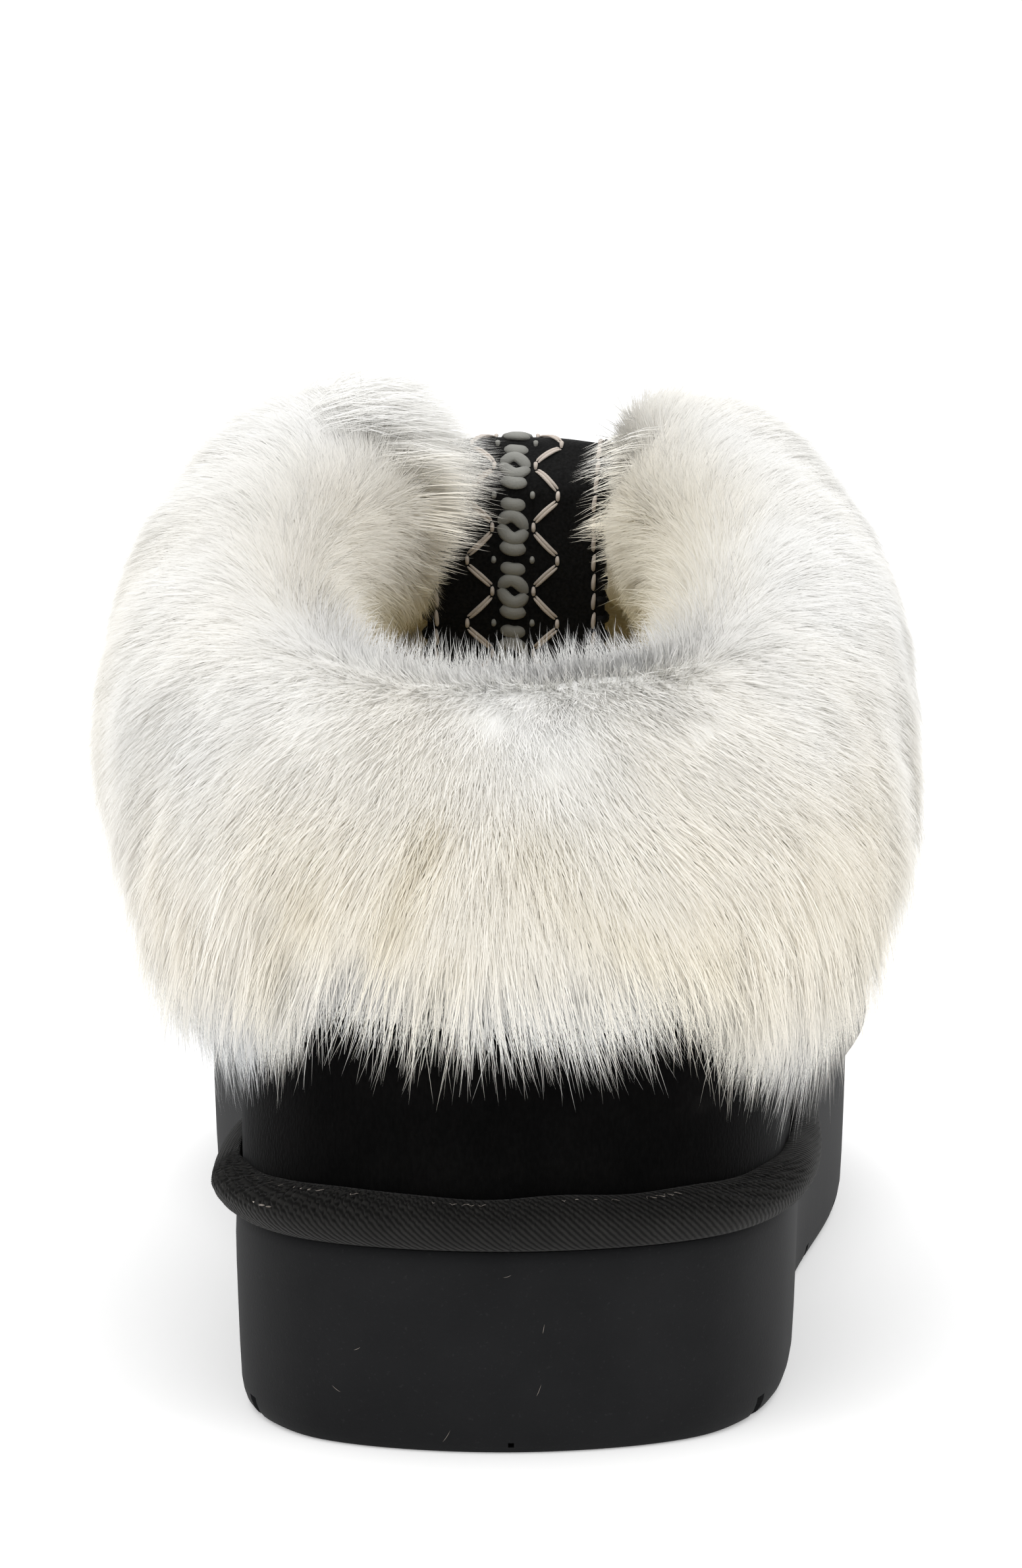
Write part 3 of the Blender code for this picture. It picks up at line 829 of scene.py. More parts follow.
SCUFF_SIZE = np.array((2.4, 6, 0.9)) * MM
SCUFF_WEAR = 0.55
FOOT_WEAR = 0.04
SAG = 0.45 * MM


def creased(points):
    """How far each point is pressed in by the creases."""
    depth = np.zeros(points.shape[:-1])
    for crease in CREASES:
        away = points / MM - np.array((crease.side, crease.along, crease.rise))
        way = unit(np.array(crease.way))
        run = away @ way
        aside = np.linalg.norm(away - run[..., None] * way, axis=-1)
        depth += crease.depth * np.exp(-((aside / crease.width) ** 2)) * np.exp(-((run / crease.half) ** 4))
    return depth * MM


def upper_face(distance, shares):
    """The upper's outer face and the way out of it, as rows from the sole to the collar."""
    around = np.repeat(distance[None], len(shares), 0)
    up = np.repeat(shares[:, None], len(distance), 1)
    return upper_point(around, up), upper_normal(around, up), up


def make_upper():
    """The suede wall, outside and inside, a little sagged and creased outside, with a scuff at the heel."""
    distance = round_sole(UPPER_COLUMNS)
    face, normal, up = upper_face(distance, np.linspace(0, 1, UPPER_ROWS))
    sag = SAG * ripple(face, 26 * MM, 3) * np.sin(math.pi * up) ** 2
    outer = face + normal * (sag - creased(face))[..., None]
    face, normal, _ = upper_face(distance, np.linspace(1, 0, INNER_ROWS))
    inner = face - normal * WALL
    grid = np.concatenate([outer, inner, outer[:1]])
    away = np.linalg.norm((grid - SCUFF) / SCUFF_SIZE, axis=-1)
    specks = np.clip(ripple(grid, 1.6 * MM, 5) + 0.4, 0, 1)
    wear = SCUFF_WEAR * np.exp(-away**2) * specks
    low_edge = ease(0.12, 0.0, np.concatenate([np.linspace(0, 1, UPPER_ROWS), np.ones(INNER_ROWS + 1)]))
    wear = wear + FOOT_WEAR * low_edge[:, None]
    tint = np.repeat(wear.reshape(-1, 1), 3, 1)
    grid_piece("suede_upper", grid, suede_finish(), ["upper"], tint)


# Lining and insole

LINING_OUT = -WALL - 1.2 * MM
LINING_COLUMNS = 200
LINING_ROWS = 40
PILE_SWELL = 0.5 * MM
INSOLE_RINGS = 16
INSOLE_ROWS = (
    SoleRow(0.00, 0.0),
    SoleRow(0.65, 0.0),
    SoleRow(0.86, 0.5),
    SoleRow(1.00, 2.0),
    SoleRow(1.04, 5.0),
)


def make_lining(finish):
    distance = round_sole(LINING_COLUMNS)
    face, normal, _ = upper_face(distance, np.linspace(0.02, 0.94, LINING_ROWS))
    out = LINING_OUT + PILE_SWELL * ripple(face, 4 * MM, 8)
    grid_piece("fleece_lining", face + normal * out[..., None], finish)


def make_insole(finish):
    """The footbed: its rounded rim, and rings that close in to its middle."""
    distance = round_sole(LINING_COLUMNS)
    beside = UPPER_INSET + WALL + 2 * GAP
    rings = []
    for row in INSOLE_ROWS:
        rise = GAP + row.rise * INSOLE_HEIGHT
        rings.append(outline_ring(distance, beside + row.inset * MM, rise, sole_top))
    rim = rings[-1] * (1, 1, 0)
    middle = rim.mean(axis=0)
    for share in np.linspace(0.9, 0.0, INSOLE_RINGS):
        ring = middle + (rim - middle) * share
        swell = PILE_SWELL * ripple(ring, 5 * MM, 9)
        ring[:, 2] = sole_top(ring[:, 1]) + GAP + INSOLE_HEIGHT * INSOLE_ROWS[-1].rise + swell
        rings.append(ring)
    piece = grid_piece("fleece_insole", np.array(rings), finish, ["insole"])


# Fur

FUR_COLUMNS = 480
FUR_FINE = 97
ROW_STEPS = (FUR_FINE - 1) / (len(FUR_SECTION) + 1)
LAST_ROW = FUR_FINE - 1.001
GROUND_STEP = 2
# How much darker the fur's ground is than its hair: painted shade under the hair.
GROUND_SHADE = 0.87
RIDGE = 7.0
FULL_DEPTH = 2.4 * MM
CORE_SHARE = 0.91
CORE_HEM = 13 * MM
CORNER_HEM = 6 * MM
WHITE = np.array((0.93, 0.927, 0.91))
CREAM = np.array((0.95, 0.905, 0.81))
TAN = np.array((0.92, 0.82, 0.57))
# How much painted shade darkens the fur at its outer hem, in red, green and blue.
HEM_SHADE = np.array((0.21, 0.185, 0.14))
BAND_HEIGHT = 78 * MM
BAND_HALF = 15 * MM


def fur_row(row, pile, rise, hem):
    """Where a row of the fur's section lies: distance below the collar, and out of the upper's outer face."""
    depth = hem if row.out >= 0 else HEM_INSIDE
    below = row.below * (depth if row.below >= 0 else rise)
    face = GAP if row.out >= 0 else -WALL - GAP
    return below, face + row.out * pile


def fur_table(distance, share, lift):
    """Rows of points round the collar at a share of the pile's depth, with the outer hem lifted."""
    sizes = section(distance)
    hem = sizes.hem * MM - lift
    rows = [rim_at(distance, hem, GAP + HEM_THICK)]
    for row in FUR_SECTION:
        outside = row.out >= 0
        depth = (sizes.fur_out if outside else sizes.fur_in) * MM
        full = fullness(distance, max(row.below, 0.0) * sizes.hem * MM, outside)
        pile = FUR_UNDER_STRAP + (depth - FUR_UNDER_STRAP) * full
        rise = FUR_UNDER_STRAP + (sizes.fur_up * MM - FUR_UNDER_STRAP) * full
        rows.append(rim_at(distance, *fur_row(row, pile * share, rise * share, hem)))
    rows.append(rim_at(distance, HEM_INSIDE, -WALL - GAP - HEM_THICK))
    return np.stack(rows, axis=1)


def smoothed(table, count):
    """A table with count rows on smooth curves through its own rows."""
    last = table.shape[1] - 1
    at = np.linspace(0, last, count)
    low = np.clip(np.floor(at).astype(int), 0, last - 1)
    t = (at - low)[None, :, None]
    before, here = table[:, np.maximum(low - 1, 0)], table[:, low]
    there, after = table[:, low + 1], table[:, np.minimum(low + 2, last)]
    return 0.5 * (
        2 * here
        + (there - before) * t
        + (2 * before - 5 * here + 4 * there - after) * t**2
        + (3 * here - before - 3 * there + after) * t**3
    )


# Partings seen at the heel's back: side and height of their upper and lower ends, in millimetres, half their
# width, and how deep they are and how strongly a painted tan shade darkens them.
Parting = namedtuple("Parting", "side rise low_side low_rise width depth tan")
PARTINGS = (
    Parting(-9.5, 89, -16.0, 75, 2.6, 1.8, 0.60),
    Parting(-25.0, 82, -31.0, 71, 3.2, 1.2, 0.40),
    Parting(-8.0, 73, -12.0, 66, 3.0, 1.2, 0.35),
    Parting(14.0, 78, 22.0, 69, 3.0, 1.0, 0.30),
    Parting(24.0, 76, 27.0, 70, 4.0, 1.0, 0.30),
    Parting(2.0, 88, 10.0, 79, 3.5, 0.8, 0.25),
)

# The fringe at the heel's back. side: the place of a lock or a gap, width: how wide it is, drop: how much
# further down it hangs, or up where negative, in millimetres. thin: the share of its hair that is missing.
Fringe = namedtuple("Fringe", "side width drop thin")
FRINGE = (
    Fringe(-42.0, 7.0, -5.0, 0.0),
    Fringe(-29.0, 4.0, 3.0, 0.0),
    Fringe(-21.0, 2.0, -4.5, 0.55),
    Fringe(-9.0, 6.0, 1.0, 0.0),
    Fringe(4.0, 4.0, -0.5, 0.1),
    Fringe(13.0, 3.0, -2.0, 0.30),
    Fringe(19.5, 3.0, -2.0, 0.30),
    Fringe(26.0, 4.0, 4.0, 0.0),
    Fringe(31.0, 4.0, 4.0, 0.0),
    Fringe(38.0, 5.0, 1.0, 0.0),
)


def parted(points):
    """How deep the partings are at each point, and how much painted tan shade lies in them."""
    depth, tan = np.zeros(points.shape[:-1]), np.zeros(points.shape[:-1])
    back = ease(30 * MM, 10 * MM, points[..., 1])
    for parting in PARTINGS:
        top = np.array((parting.side, parting.rise)) * MM
        run = np.array((parting.low_side, parting.low_rise)) * MM - top
        away = points[..., (0, 2)] - top
        share = np.clip((away @ run) / (run @ run), 0, 1)
        aside = np.linalg.norm(away - share[..., None] * run, axis=-1)
        mask = np.exp(-((aside / (parting.width * MM)) ** 2)) * back
        depth += parting.depth * MM * mask
        tan += parting.tan * mask
    return depth, np.clip(tan, 0, 1)


def fringed(points):
    """How much longer the fringe's hair is at each point, and the share of it that is missing."""
    drop, thin = np.zeros(points.shape[:-1]), np.zeros(points.shape[:-1])
    back = ease(40 * MM, 20 * MM, points[..., 1])
    for fringe in FRINGE:
        mask = back * np.exp(-(((points[..., 0] / MM - fringe.side) / fringe.width) ** 2))
        drop += fringe.drop * MM * mask
        thin += fringe.thin * mask
    return drop, np.clip(thin, 0, 1)


class Fur:
    """The fur's core and its face as tables round the collar and across it, with the ways that hair grows."""

    def __init__(self):
        self.distance = spread(lambda d: rim_at(d, 0.0, FUR_LOOP), FUR_COLUMNS)
        face = smoothed(fur_table(self.distance, 1.0, 0.0), FUR_FINE)
        corner = ease(0.05, 0.115, section(self.distance).rim_along)
        lift = CORE_HEM + (CORNER_HEM - CORE_HEM) * corner
        core = smoothed(fur_table(self.distance, CORE_SHARE, lift), FUR_FINE)
        self.depth = np.linalg.norm(face - core, axis=-1)
        around = np.roll(core, -1, axis=0) - np.roll(core, 1, axis=0)
        across = np.gradient(core, axis=1)
        self.side = unit(around)
        self.inward = unit(across)
        self.normal = unit(np.cross(around, across))
        sunk, self.tan = parted(core)
        swell = 0.9 * MM * ripple(core, 17 * MM, 31) + 0.4 * MM * ripple(core, 7 * MM, 32)
        full = np.clip(self.depth / FULL_DEPTH, 0, 1)
        self.core = core + self.normal * ((swell - sunk) * full)[..., None]
        self.area = np.linalg.norm(around, axis=-1) / 2 * np.linalg.norm(across, axis=-1)
        at_rim = np.zeros(FUR_COLUMNS)
        self.full = np.maximum(fullness(self.distance, at_rim), fullness(self.distance, at_rim, False))
        self.drop, self.thin = fringed(core)

    def pick(self, rng, count, weight):
        """Places spread evenly over the fur, more where weight, a table, is high."""
        share = (self.area * weight).ravel()
        chosen = rng.choice(share.size, size=count, p=share / share.sum())
        column, row = np.divmod(chosen, FUR_FINE)
        return column + rng.uniform(-0.5, 0.5, count), row + rng.uniform(-0.5, 0.5, count)


def coat_tint(fur, column, row, points):
    """The fur's colour at its tips: grey white, with warm patches, and tan where it is deep or inside.
    Painted shade
    is in it too: tan in the partings and on the right lobe's inner face, and darker towards the outer hem.
    """
    side, along, height = np.moveaxis(points, -1, 0)
    level = row / ROW_STEPS
    patch = ripple(points, 34 * MM, 41) + 0.5 * ripple(points, 13 * MM, 42)
    band = ease(46 * MM, 12 * MM, along) * np.exp(-(((height - BAND_HEIGHT) / BAND_HALF) ** 2))
    inside = ease(RIDGE - 0.4, RIDGE + 1.6, level) * ease(20 * MM, 45 * MM, along)
    warm = np.clip(0.12 + 0.22 * patch + 0.8 * band + 0.8 * inside, 0, 1)[..., None]
    deep = ease(RIDGE + 2.0, RIDGE + 4.5, level)
    throat = ease(114 * MM, 105 * MM, height) * ease(52 * MM, 66 * MM, along)
    throat = throat * ease(RIDGE + 0.6, RIDGE + 2.0, level)
    # right: painted shade, the right lobe's inner face beside the strap tinted tan.
    right = 0.35 * inside * ease(8 * MM, 20 * MM, side)
    tan = 0.5 * lookup(fur.tan, column, row) + 0.8 * deep + 0.75 * throat + right
    tan = np.clip(tan, 0, 1)[..., None]
    tint = (WHITE * (1 - warm) + CREAM * warm) * (1 - tan) + TAN * tan
    # Painted shade: the fur grows darker and greyer towards the outer hem.
    hem = ease(1.8, 0.4, level)[..., None]
    return tint * (1 - hem * HEM_SHADE)


# How hair at the heel's back fans out: the angle, in radians, at each side, in millimetres.
FAN_SIDES = (-50, -30, -16, -10, -2, 8, 30, 50)
FAN_ANGLES = (-0.2, -0.3, -0.25, 0.0, 0.2, 0.35, 0.35, 0.2)


def sweep(points, level):
    """The angle by which hair is combed aside from straight down the fur, on round the collar."""
    swirl = 0.45 * ripple(points, 30 * MM, 51) + 0.15 * ripple(points, 11 * MM, 52)
    back = ease(60 * MM, 20 * MM, points[..., 1])
    fan = np.interp(points[..., 0] / MM, FAN_SIDES, FAN_ANGLES)
    outer = ease(RIDGE, RIDGE - 2.5, level)
    return swirl + back * outer * (fan - 0.35 * swirl)


# A kind of hair. guides: how many locks, each: hairs in a lock, parts: straight lengths in a hair. long: its
# length where the pile is deepest, least: where it is shallow, spread: how far a lock's roots lie apart and
# half: half a hair's width, in millimetres. gather: how much of the spread is gone at the tips. root, tip:
# how far it leans from straight out, in radians. loose: how much hairs of one lock differ.
Kind = namedtuple("Kind", "guides each parts long least spread gather half root tip loose")
UNDER = Kind(11000, 15, 1, 7.5, 5.0, 1.5, 0.10, 0.085, 1.15, 1.15, 0.16)
COAT = Kind(5500, 11, 2, 8.0, 5.5, 1.3, 0.15, 0.066, 0.95, 1.42, 0.18)
HEM = Kind(3400, 8, 2, 15.5, 12.0, 0.9, 0.40, 0.050, 0.95, 1.40, 0.14)
DRAPE = Kind(1100, 9, 2, 15.0, 12.0, 0.9, 0.30, 0.060, 1.15, 1.60, 0.12)
RIM = Kind(1700, 3, 3, 11.0, 7.5, 0.9, 0.45, 0.045, 0.10, 0.55, 0.32)
WISP = Kind(500, 9, 3, 16.0, 13.0, 0.9, 0.45, 0.070, 0.40, 1.00, 0.12)

# How much locks differ in angle, length, lean and tone, and hairs in tone, length and width.
LOCK_ANGLE = 0.08
LOCK_LENGTH = 0.08
LOCK_LEAN = 0.05
LOCK_TONE = 0.012
HAIR_TONE = 0.02
HAIR_LENGTHS = (0.75, 1.12)
HAIR_WIDTHS = (0.7, 1.25)

# How hair stands and lies: on the crest, pressed flat under it, hanging at the hem and trimmed at the strap.
ROOT_SUNK = 0.5 * MM
LEAST_STEP = 0.2 * MM
CREST_LEAN = 0.35
FLAT_LEAN = 1.45
FLATTENED = 0.6
HANG = np.array((0, 0, -0.9))
STRAP_TRIM = 0.75
TURN_BACK = np.array((0, -1.1, 0))
WISP_LIGHT = np.array((0, -0.5, 0.8))


def grow(fur, rng, kind, weight, aim=None):
    """Hairs that grow in locks and are combed down the fur, or over along the direction aim."""
    column, row = fur.pick(rng, kind.guides, weight)
    column, row = np.repeat(column, kind.each), np.repeat(row, kind.each)
    level = row / ROW_STEPS
    lock = np.repeat(rng.normal(size=(kind.guides, 4)), kind.each, axis=0)
    count = kind.guides * kind.each
    step_u = np.linalg.norm(lookup(np.roll(fur.core, -1, 0) - fur.core, column, row), axis=-1)
    step_v = np.linalg.norm(lookup(np.gradient(fur.core, axis=1), column, row), axis=-1)
    shift = rng.normal(size=(count, 2)) * kind.spread * MM
    own_column = column + shift[:, 0] / np.maximum(step_u, LEAST_STEP)
    own_row = np.clip(row + shift[:, 1] / np.maximum(step_v, LEAST_STEP), 0, LAST_ROW)
    root, heart = lookup(fur.core, own_column, own_row), lookup(fur.core, column, row)
    normal = unit(lookup(fur.normal, own_column, own_row))
    side, along, height = heart.T

    outer = ease(RIDGE + 1.3, RIDGE - 0.7, level)
    inner = ease(RIDGE + 0.9, RIDGE + 2.2, level)
    lie = CREST_LEAN + (1 - CREST_LEAN) * np.maximum(outer, inner)
    pressed = FLATTENED * ease(3.6, 5.0, level) * ease(RIDGE + 0.3, RIDGE - 1.4, level)
    angle = sweep(heart, level) + LOCK_ANGLE * lock[:, 0] + kind.loose * rng.normal(size=count)
    down = unit(lookup(fur.inward, column, row)) * ((inner - outer) * np.cos(angle))[:, None]
    aside = unit(lookup(fur.side, column, row)) * (lie * np.sin(angle))[:, None]
    hang = ease(4.6, 2.2, level) * (0.3 + 0.7 * ease(25 * MM, 45 * MM, np.abs(side)))
    flow = unit(down + aside + HANG * hang[:, None])

    reach = np.clip(lookup(fur.depth, column, row) / FULL_DEPTH, kind.least / kind.long, 1.25)
    fringe = ease(2.2, 0.8, level) * lookup(fur.drop, column, row)
    varied = np.exp(LOCK_LENGTH * lock[:, 1]) * rng.uniform(*HAIR_LENGTHS, count)
    long = kind.long * MM * reach * varied + fringe
    if aim is None:
        near_strap = ease(27 * MM, 16 * MM, side) * (side > 0) * ease(78 * MM, 90 * MM, along)
        long = long * (1 - STRAP_TRIM * near_strap * ease(RIDGE, RIDGE + 0.8, level))
    else:
        long = long * ease(100 * MM, 127 * MM, height)

    points = [root - normal * ROOT_SUNK]
    stray = rng.normal(size=(count, 3)) * kind.loose * 0.5
    for number in range(kind.parts):
        share = (number + 0.5) / kind.parts
        lean = kind.root + (kind.tip - kind.root) * share
        tilt = lean * lie + LOCK_LEAN * lock[:, 2] + (FLAT_LEAN - lean) * pressed
        way = normal * np.cos(tilt)[:, None] + flow * np.sin(tilt)[:, None]
        if aim is not None:
            way = normal * (1 - lean) + (aim + 0.1 * lock[:, :3]) * lean
        points.append(points[-1] + unit(way + stray * share) * (long / kind.parts)[:, None])
    points = np.stack(points, axis=1)
    pull = (np.arange(kind.parts + 1) / kind.parts) ** 1.4 * kind.gather
    points -= (root - heart)[:, None] * pull[None, :, None]

    crest = np.exp(-(((level - RIDGE - 0.1) / 1.2) ** 2))
    behind = ease(42 * MM, 30 * MM, along) * ease(RIDGE + 0.9, RIDGE + 1.5, level)
    turned = crest if kind is RIM else crest * (1 - 2 * behind)
    face = unit(normal + TURN_BACK * turned[:, None])
    shade = 1 + LOCK_TONE * lock[:, 3] + HAIR_TONE * rng.normal(size=count)
    tint = coat_tint(fur, own_column, own_row, root) * shade[:, None]
    if aim is not None:
        normal = unit(0.4 * normal + WISP_LIGHT)
        face = normal
    return Hairs(points, face, normal, kind.half * MM * rng.uniform(*HAIR_WIDTHS, count), tint)


class Hairs:
    """Hairs as flat ribbons that take light as the fur's surface does and narrow to a point."""

    # Painted shade: each hair darker and warmer towards its root.
    ROOT_SHADE = 0.97
    ROOT_WARM = np.array((1.0, 0.99, 0.965))
    PALEST = 0.97
    SOFT = 0.92
    LIFT = np.array((0, 0, 0.25))
    TWIST = 0.15
    TAPER = 0.6

    def __init__(self, points, face, normal, half, tint):
        self.points, self.face, self.normal, self.half, self.tint = points, face, normal, half, tint

    def piece(self, name, finish, rng):
        count, parts = len(self.points), self.points.shape[1] - 1
        along = unit(np.diff(self.points, axis=1))
        along = np.concatenate([along, along[:, -1:]], axis=1)
        twist = rng.normal(size=(count, 1, 1)) * self.TWIST
        across = np.cross(along, self.face[:, None])
        across = unit(across + self.face[:, None] * twist)
        facing = np.cross(across, along) * (1 - self.SOFT) + self.normal[:, None] * self.SOFT
        facing = unit(facing + self.LIFT)
        half = self.half[:, None] * (1 - self.TAPER * (np.arange(parts) / parts) ** 2)
        left = self.points[:, :-1] - across[:, :-1] * half[..., None]
        right = self.points[:, :-1] + across[:, :-1] * half[..., None]
        pairs = np.stack([left, right], 2).reshape(count, -1, 3)
        verts = np.concatenate([pairs, self.points[:, -1:]], axis=1)
        normals = np.concatenate([np.repeat(facing[:, :-1], 2, axis=1), facing[:, -1:]], axis=1)
        size = verts.shape[1]
        tris = []
        for number in range(parts - 1):
            a, b, c, d = 2 * number, 2 * number + 1, 2 * number + 3, 2 * number + 2
            tris += [(a, b, c), (a, c, d)]
        tris.append((size - 3, size - 2, size - 1))
        faces = (np.arange(count)[:, None, None] * size + np.array(tris)[None]).reshape(-1, 3)
        share = np.append(np.repeat(np.arange(parts) / parts, 2), 1.0)[:, None]
        tone = (self.ROOT_SHADE + (1 - self.ROOT_SHADE) * share) * self.ROOT_WARM ** (1 - share)
        tint = np.clip(self.tint[:, None] * tone[None], 0, self.PALEST).reshape(-1, 3)
        piece_of(name, verts.reshape(-1, 3), faces, finish, ["fur_collar"], tint, normals)


# Locks that lean over the strap. hand: the side they grow on. near, far: how far from the throat's middle
# their roots begin and end, and long: their length, in millimetres. aim: the way they lean, locks: how many.
Lean = namedtuple("Lean", "name hand near far long aim locks")
LEANS = (
    Lean("fur_wisp_left", -1, 12, 34, 17, (0.97, -0.12, -0.20), 520),
    Lean("fur_wisp_right", 1, 14, 26, 10, (-0.90, -0.15, -0.40), 45),
)


def make_ground(fur):
    """The fur's body under its hairs, closed along the collar's two faces."""
    columns = slice(None, None, GROUND_STEP)
    around, across = np.meshgrid(np.arange(FUR_COLUMNS)[columns], np.arange(FUR_FINE)[columns], indexing="ij")
    ring = np.swapaxes(fur.core[columns, columns], 0, 1)
    distance = fur.distance[columns]
    inner = rim_at(distance, 0.6 * HEM_INSIDE, -WALL - GAP)
    outer = rim_at(distance, 0.4 * section(distance).hem * MM, GAP)
    grid = np.concatenate([ring, inner[None], outer[None], ring[:1]])
    # The ground takes the fur's colour, darkened as painted shade under the hair.
    tint = np.swapaxes(coat_tint(fur, around, across, fur.core[columns, columns]), 0, 1) * GROUND_SHADE
    tint = np.concatenate([tint, tint[-1:], tint[:1], tint[:1]]).reshape(-1, 3)
    grid_piece("fur_ground", grid, ground_finish(), ["fur_collar"], tint)


COAT_SEED = 100
HEM_SEED = 200
DRAPE_SEED = 250
RIM_SEED = 300
LEAN_SEED = 310


def make_fur():
    """The fur's body and its hair: coats all over, and more at the hem, corners, rim and strap."""
    fur = Fur()
    make_ground(fur)
    finish, _, _ = tinted_finish("fur_hair", 0.75)

    def add(name, seed, kind, weight, aim=None):
        rng = np.random.default_rng(seed)
        grow(fur, rng, kind, weight, aim).piece(name, finish, rng)

    side, along, height = np.moveaxis(fur.core, -1, 0)
    level = np.arange(FUR_FINE)[None] / ROW_STEPS
    everywhere = ease(0.0, 0.05, fur.full[:, None]) * np.ones_like(level)
    middle = rim_at(np.array(THROAT), 0.0, 0.0)[0]
    beside_strap = np.abs(side - middle) - STRAP_WIDTH / 2
    bordered = ease(0.5 * MM, 2.5 * MM, beside_strap) * ease(80 * MM, 90 * MM, along)
    everywhere = np.maximum(everywhere, bordered * ease(RIDGE + 0.6, RIDGE - 0.4, level))
    thin = 1 - fur.thin * ease(2.0, 1.0, level)
    above = thin * ease(0.0, 1.4, level)
    inside = ease(RIDGE + 1, RIDGE + 3, level)
    for number, kind in enumerate((UNDER, UNDER, COAT)):
        add(f"fur_coat_{number}", COAT_SEED + number, kind, everywhere * above * (1 - 0.45 * inside))
    add("fur_hem", HEM_SEED, HEM, everywhere * thin * ease(2.4, 0.6, level))
    corner = ease(22 * MM, 33 * MM, np.abs(side)) * ease(105 * MM, 85 * MM, along)
    add("fur_drape", DRAPE_SEED, DRAPE, corner * ease(0.3, 0.9, level) * ease(3.6, 2.4, level))
    rim = everywhere * np.exp(-(((level - RIDGE - 0.9) / 0.6) ** 2))
    add("fur_rim", RIM_SEED, RIM, rim * (0.4 + ease(40 * MM, 20 * MM, along)))
    high = ease(84, 96, along / MM) * ease(104, 116, height / MM)
    high = high * ease(RIDGE - 2.0, RIDGE - 0.6, level) * ease(RIDGE + 4, RIDGE + 2, level)
    for lean in LEANS:
        away = lean.hand * (side / MM)
        weight = high * (away > lean.near) * ease(lean.far, lean.far - 8, away)
        kind = WISP._replace(guides=lean.locks, long=lean.long, least=0.8 * lean.long)
        add(lean.name, LEAN_SEED + lean.hand, kind, weight, np.array(lean.aim))


# Strap

STRAP_ROWS = 240
STRAP_CROSS = 33
STRAP_FINE = 600
STRAP_FLAT = 0.85
STRAP_CROWN = 0.25 * MM
STITCH_PERIOD = 9.8 * MM
STITCH_INNER = 3.1 * MM
STITCH_OUTER = 6.8 * MM
STITCH_ASIDE = 0.5 * MM
EDGE_PITCH = 3.0 * MM
STITCH_SEED = 400


def strap_path():
    """The strap's lower face from the collar's inner edge to the vamp: places below and out of the collar."""
    depth = FUR_UNDER_STRAP + STRAP_CLEAR
    hem = float(section(np.array(THROAT)).hem) * MM
    over = [row for row in reversed(FUR_SECTION) if row.below < 0 or row.out > 0]
    path = [fur_row(row, depth, depth, hem) for row in over]
    path += [
        (hem, HEM_THICK + 2 * STRAP_CLEAR),
        (hem + STRAP_HOP, STRAP_CLEAR),
        (STRAP_OUTSIDE, STRAP_CLEAR),
    ]
    return np.array(path, float)


class Strap:
    """The band's face, measured along it from its free end in the throat and across it from its middle."""

    def __init__(self):
        below, out = strap_path().T
        half = np.full(len(below), STRAP_WIDTH / 2)
        for _ in range(5):
            right = rim_at(beside_throat(half), below, out)
            left = rim_at(beside_throat(-half), below, out)
            half = half * STRAP_WIDTH / np.linalg.norm(right - left, axis=-1)
        shares = np.linspace(-1, 1, STRAP_CROSS)
        rows = rim_at(beside_throat(half[:, None] * shares[None]), below[:, None], out[:, None])
        fall = np.arange(TAB_ROWS, 0, -1) / TAB_ROWS
        drop = np.stack([0 * fall, TAB_DRIFT * fall**2, -TAB_DROP * fall], -1)
        rows = np.concatenate([rows[:1] + drop[:, None], rows])
        flat = STRAP_FLAT * np.concatenate([np.ones(TAB_ROWS), ease(6 * MM, 0.0, out)])[:, None, None]
        side = unit(rows[:, -1] - rows[:, 0])[:, None] * (shares * STRAP_WIDTH / 2)[None, :, None]
        rows = rows * (1 - flat) + (rows.mean(axis=1, keepdims=True) + side) * flat
        fine = np.swapaxes(smoothed(np.swapaxes(rows, 0, 1), STRAP_FINE), 0, 1)
        gone = path_length(fine[:, STRAP_CROSS // 2])
        even = np.interp(np.linspace(0, gone[-1], STRAP_ROWS), gone, np.arange(len(fine)))
        across = np.repeat(np.arange(STRAP_CROSS)[None], STRAP_ROWS, 0)
        self.low = lookup(np.swapaxes(fine, 0, 1), across, np.repeat(even[:, None], STRAP_CROSS, 1))
        self.over = unit(np.cross(np.gradient(self.low, axis=0), np.gradient(self.low, axis=1)))
        self.face = self.low + self.over * STRAP_THICK
        self.gone = path_length(self.face[:, STRAP_CROSS // 2])
        self.long = self.gone[-1]

    def at(self, along, aside, lift):
        """Points on the band's face: along it, aside from its middle, and lifted off it."""
        row = np.interp(along, self.gone, np.arange(STRAP_ROWS))
        column = (np.asarray(aside) / STRAP_WIDTH + 0.5) * (STRAP_CROSS - 1)
        column = np.clip(column, 0, STRAP_CROSS - 1.001)
        face = lookup(np.swapaxes(self.face, 0, 1), column, row)
        over = unit(lookup(np.swapaxes(self.over, 0, 1), column, row))
        return face + over * np.asarray(lift)[..., None], over


BAR_LIFT = 0.25 * MM
BAR_ARCH = 0.35 * MM
BAR_FLAT = 0.7
BAR_STEPS = 9


def bar(strap, soup, start, end, radius, tint):
    """One stitch from start to end, each along and aside on the band, that dips into it at both ends."""
    share = np.linspace(0, 1, BAR_STEPS)
    line = np.array(start) + (np.array(end) - np.array(start)) * share[:, None]
    swell = np.sin(math.pi * share) ** 0.45
    lift = BAR_LIFT + BAR_ARCH * swell - radius * 0.9 * (1 - swell)
    path, over = strap.at(line[:, 0], line[:, 1], lift)
    tube(soup, path, radius * (0.25 + 0.75 * swell), tint, over, flat=BAR_FLAT)


# Shares of half a period: where a zigzag's thread starts, and how far on it ends and its turn lies
ZIGZAG_START = 0.15
ZIGZAG_RUN = 0.72
ZIGZAG_TURN = 0.86

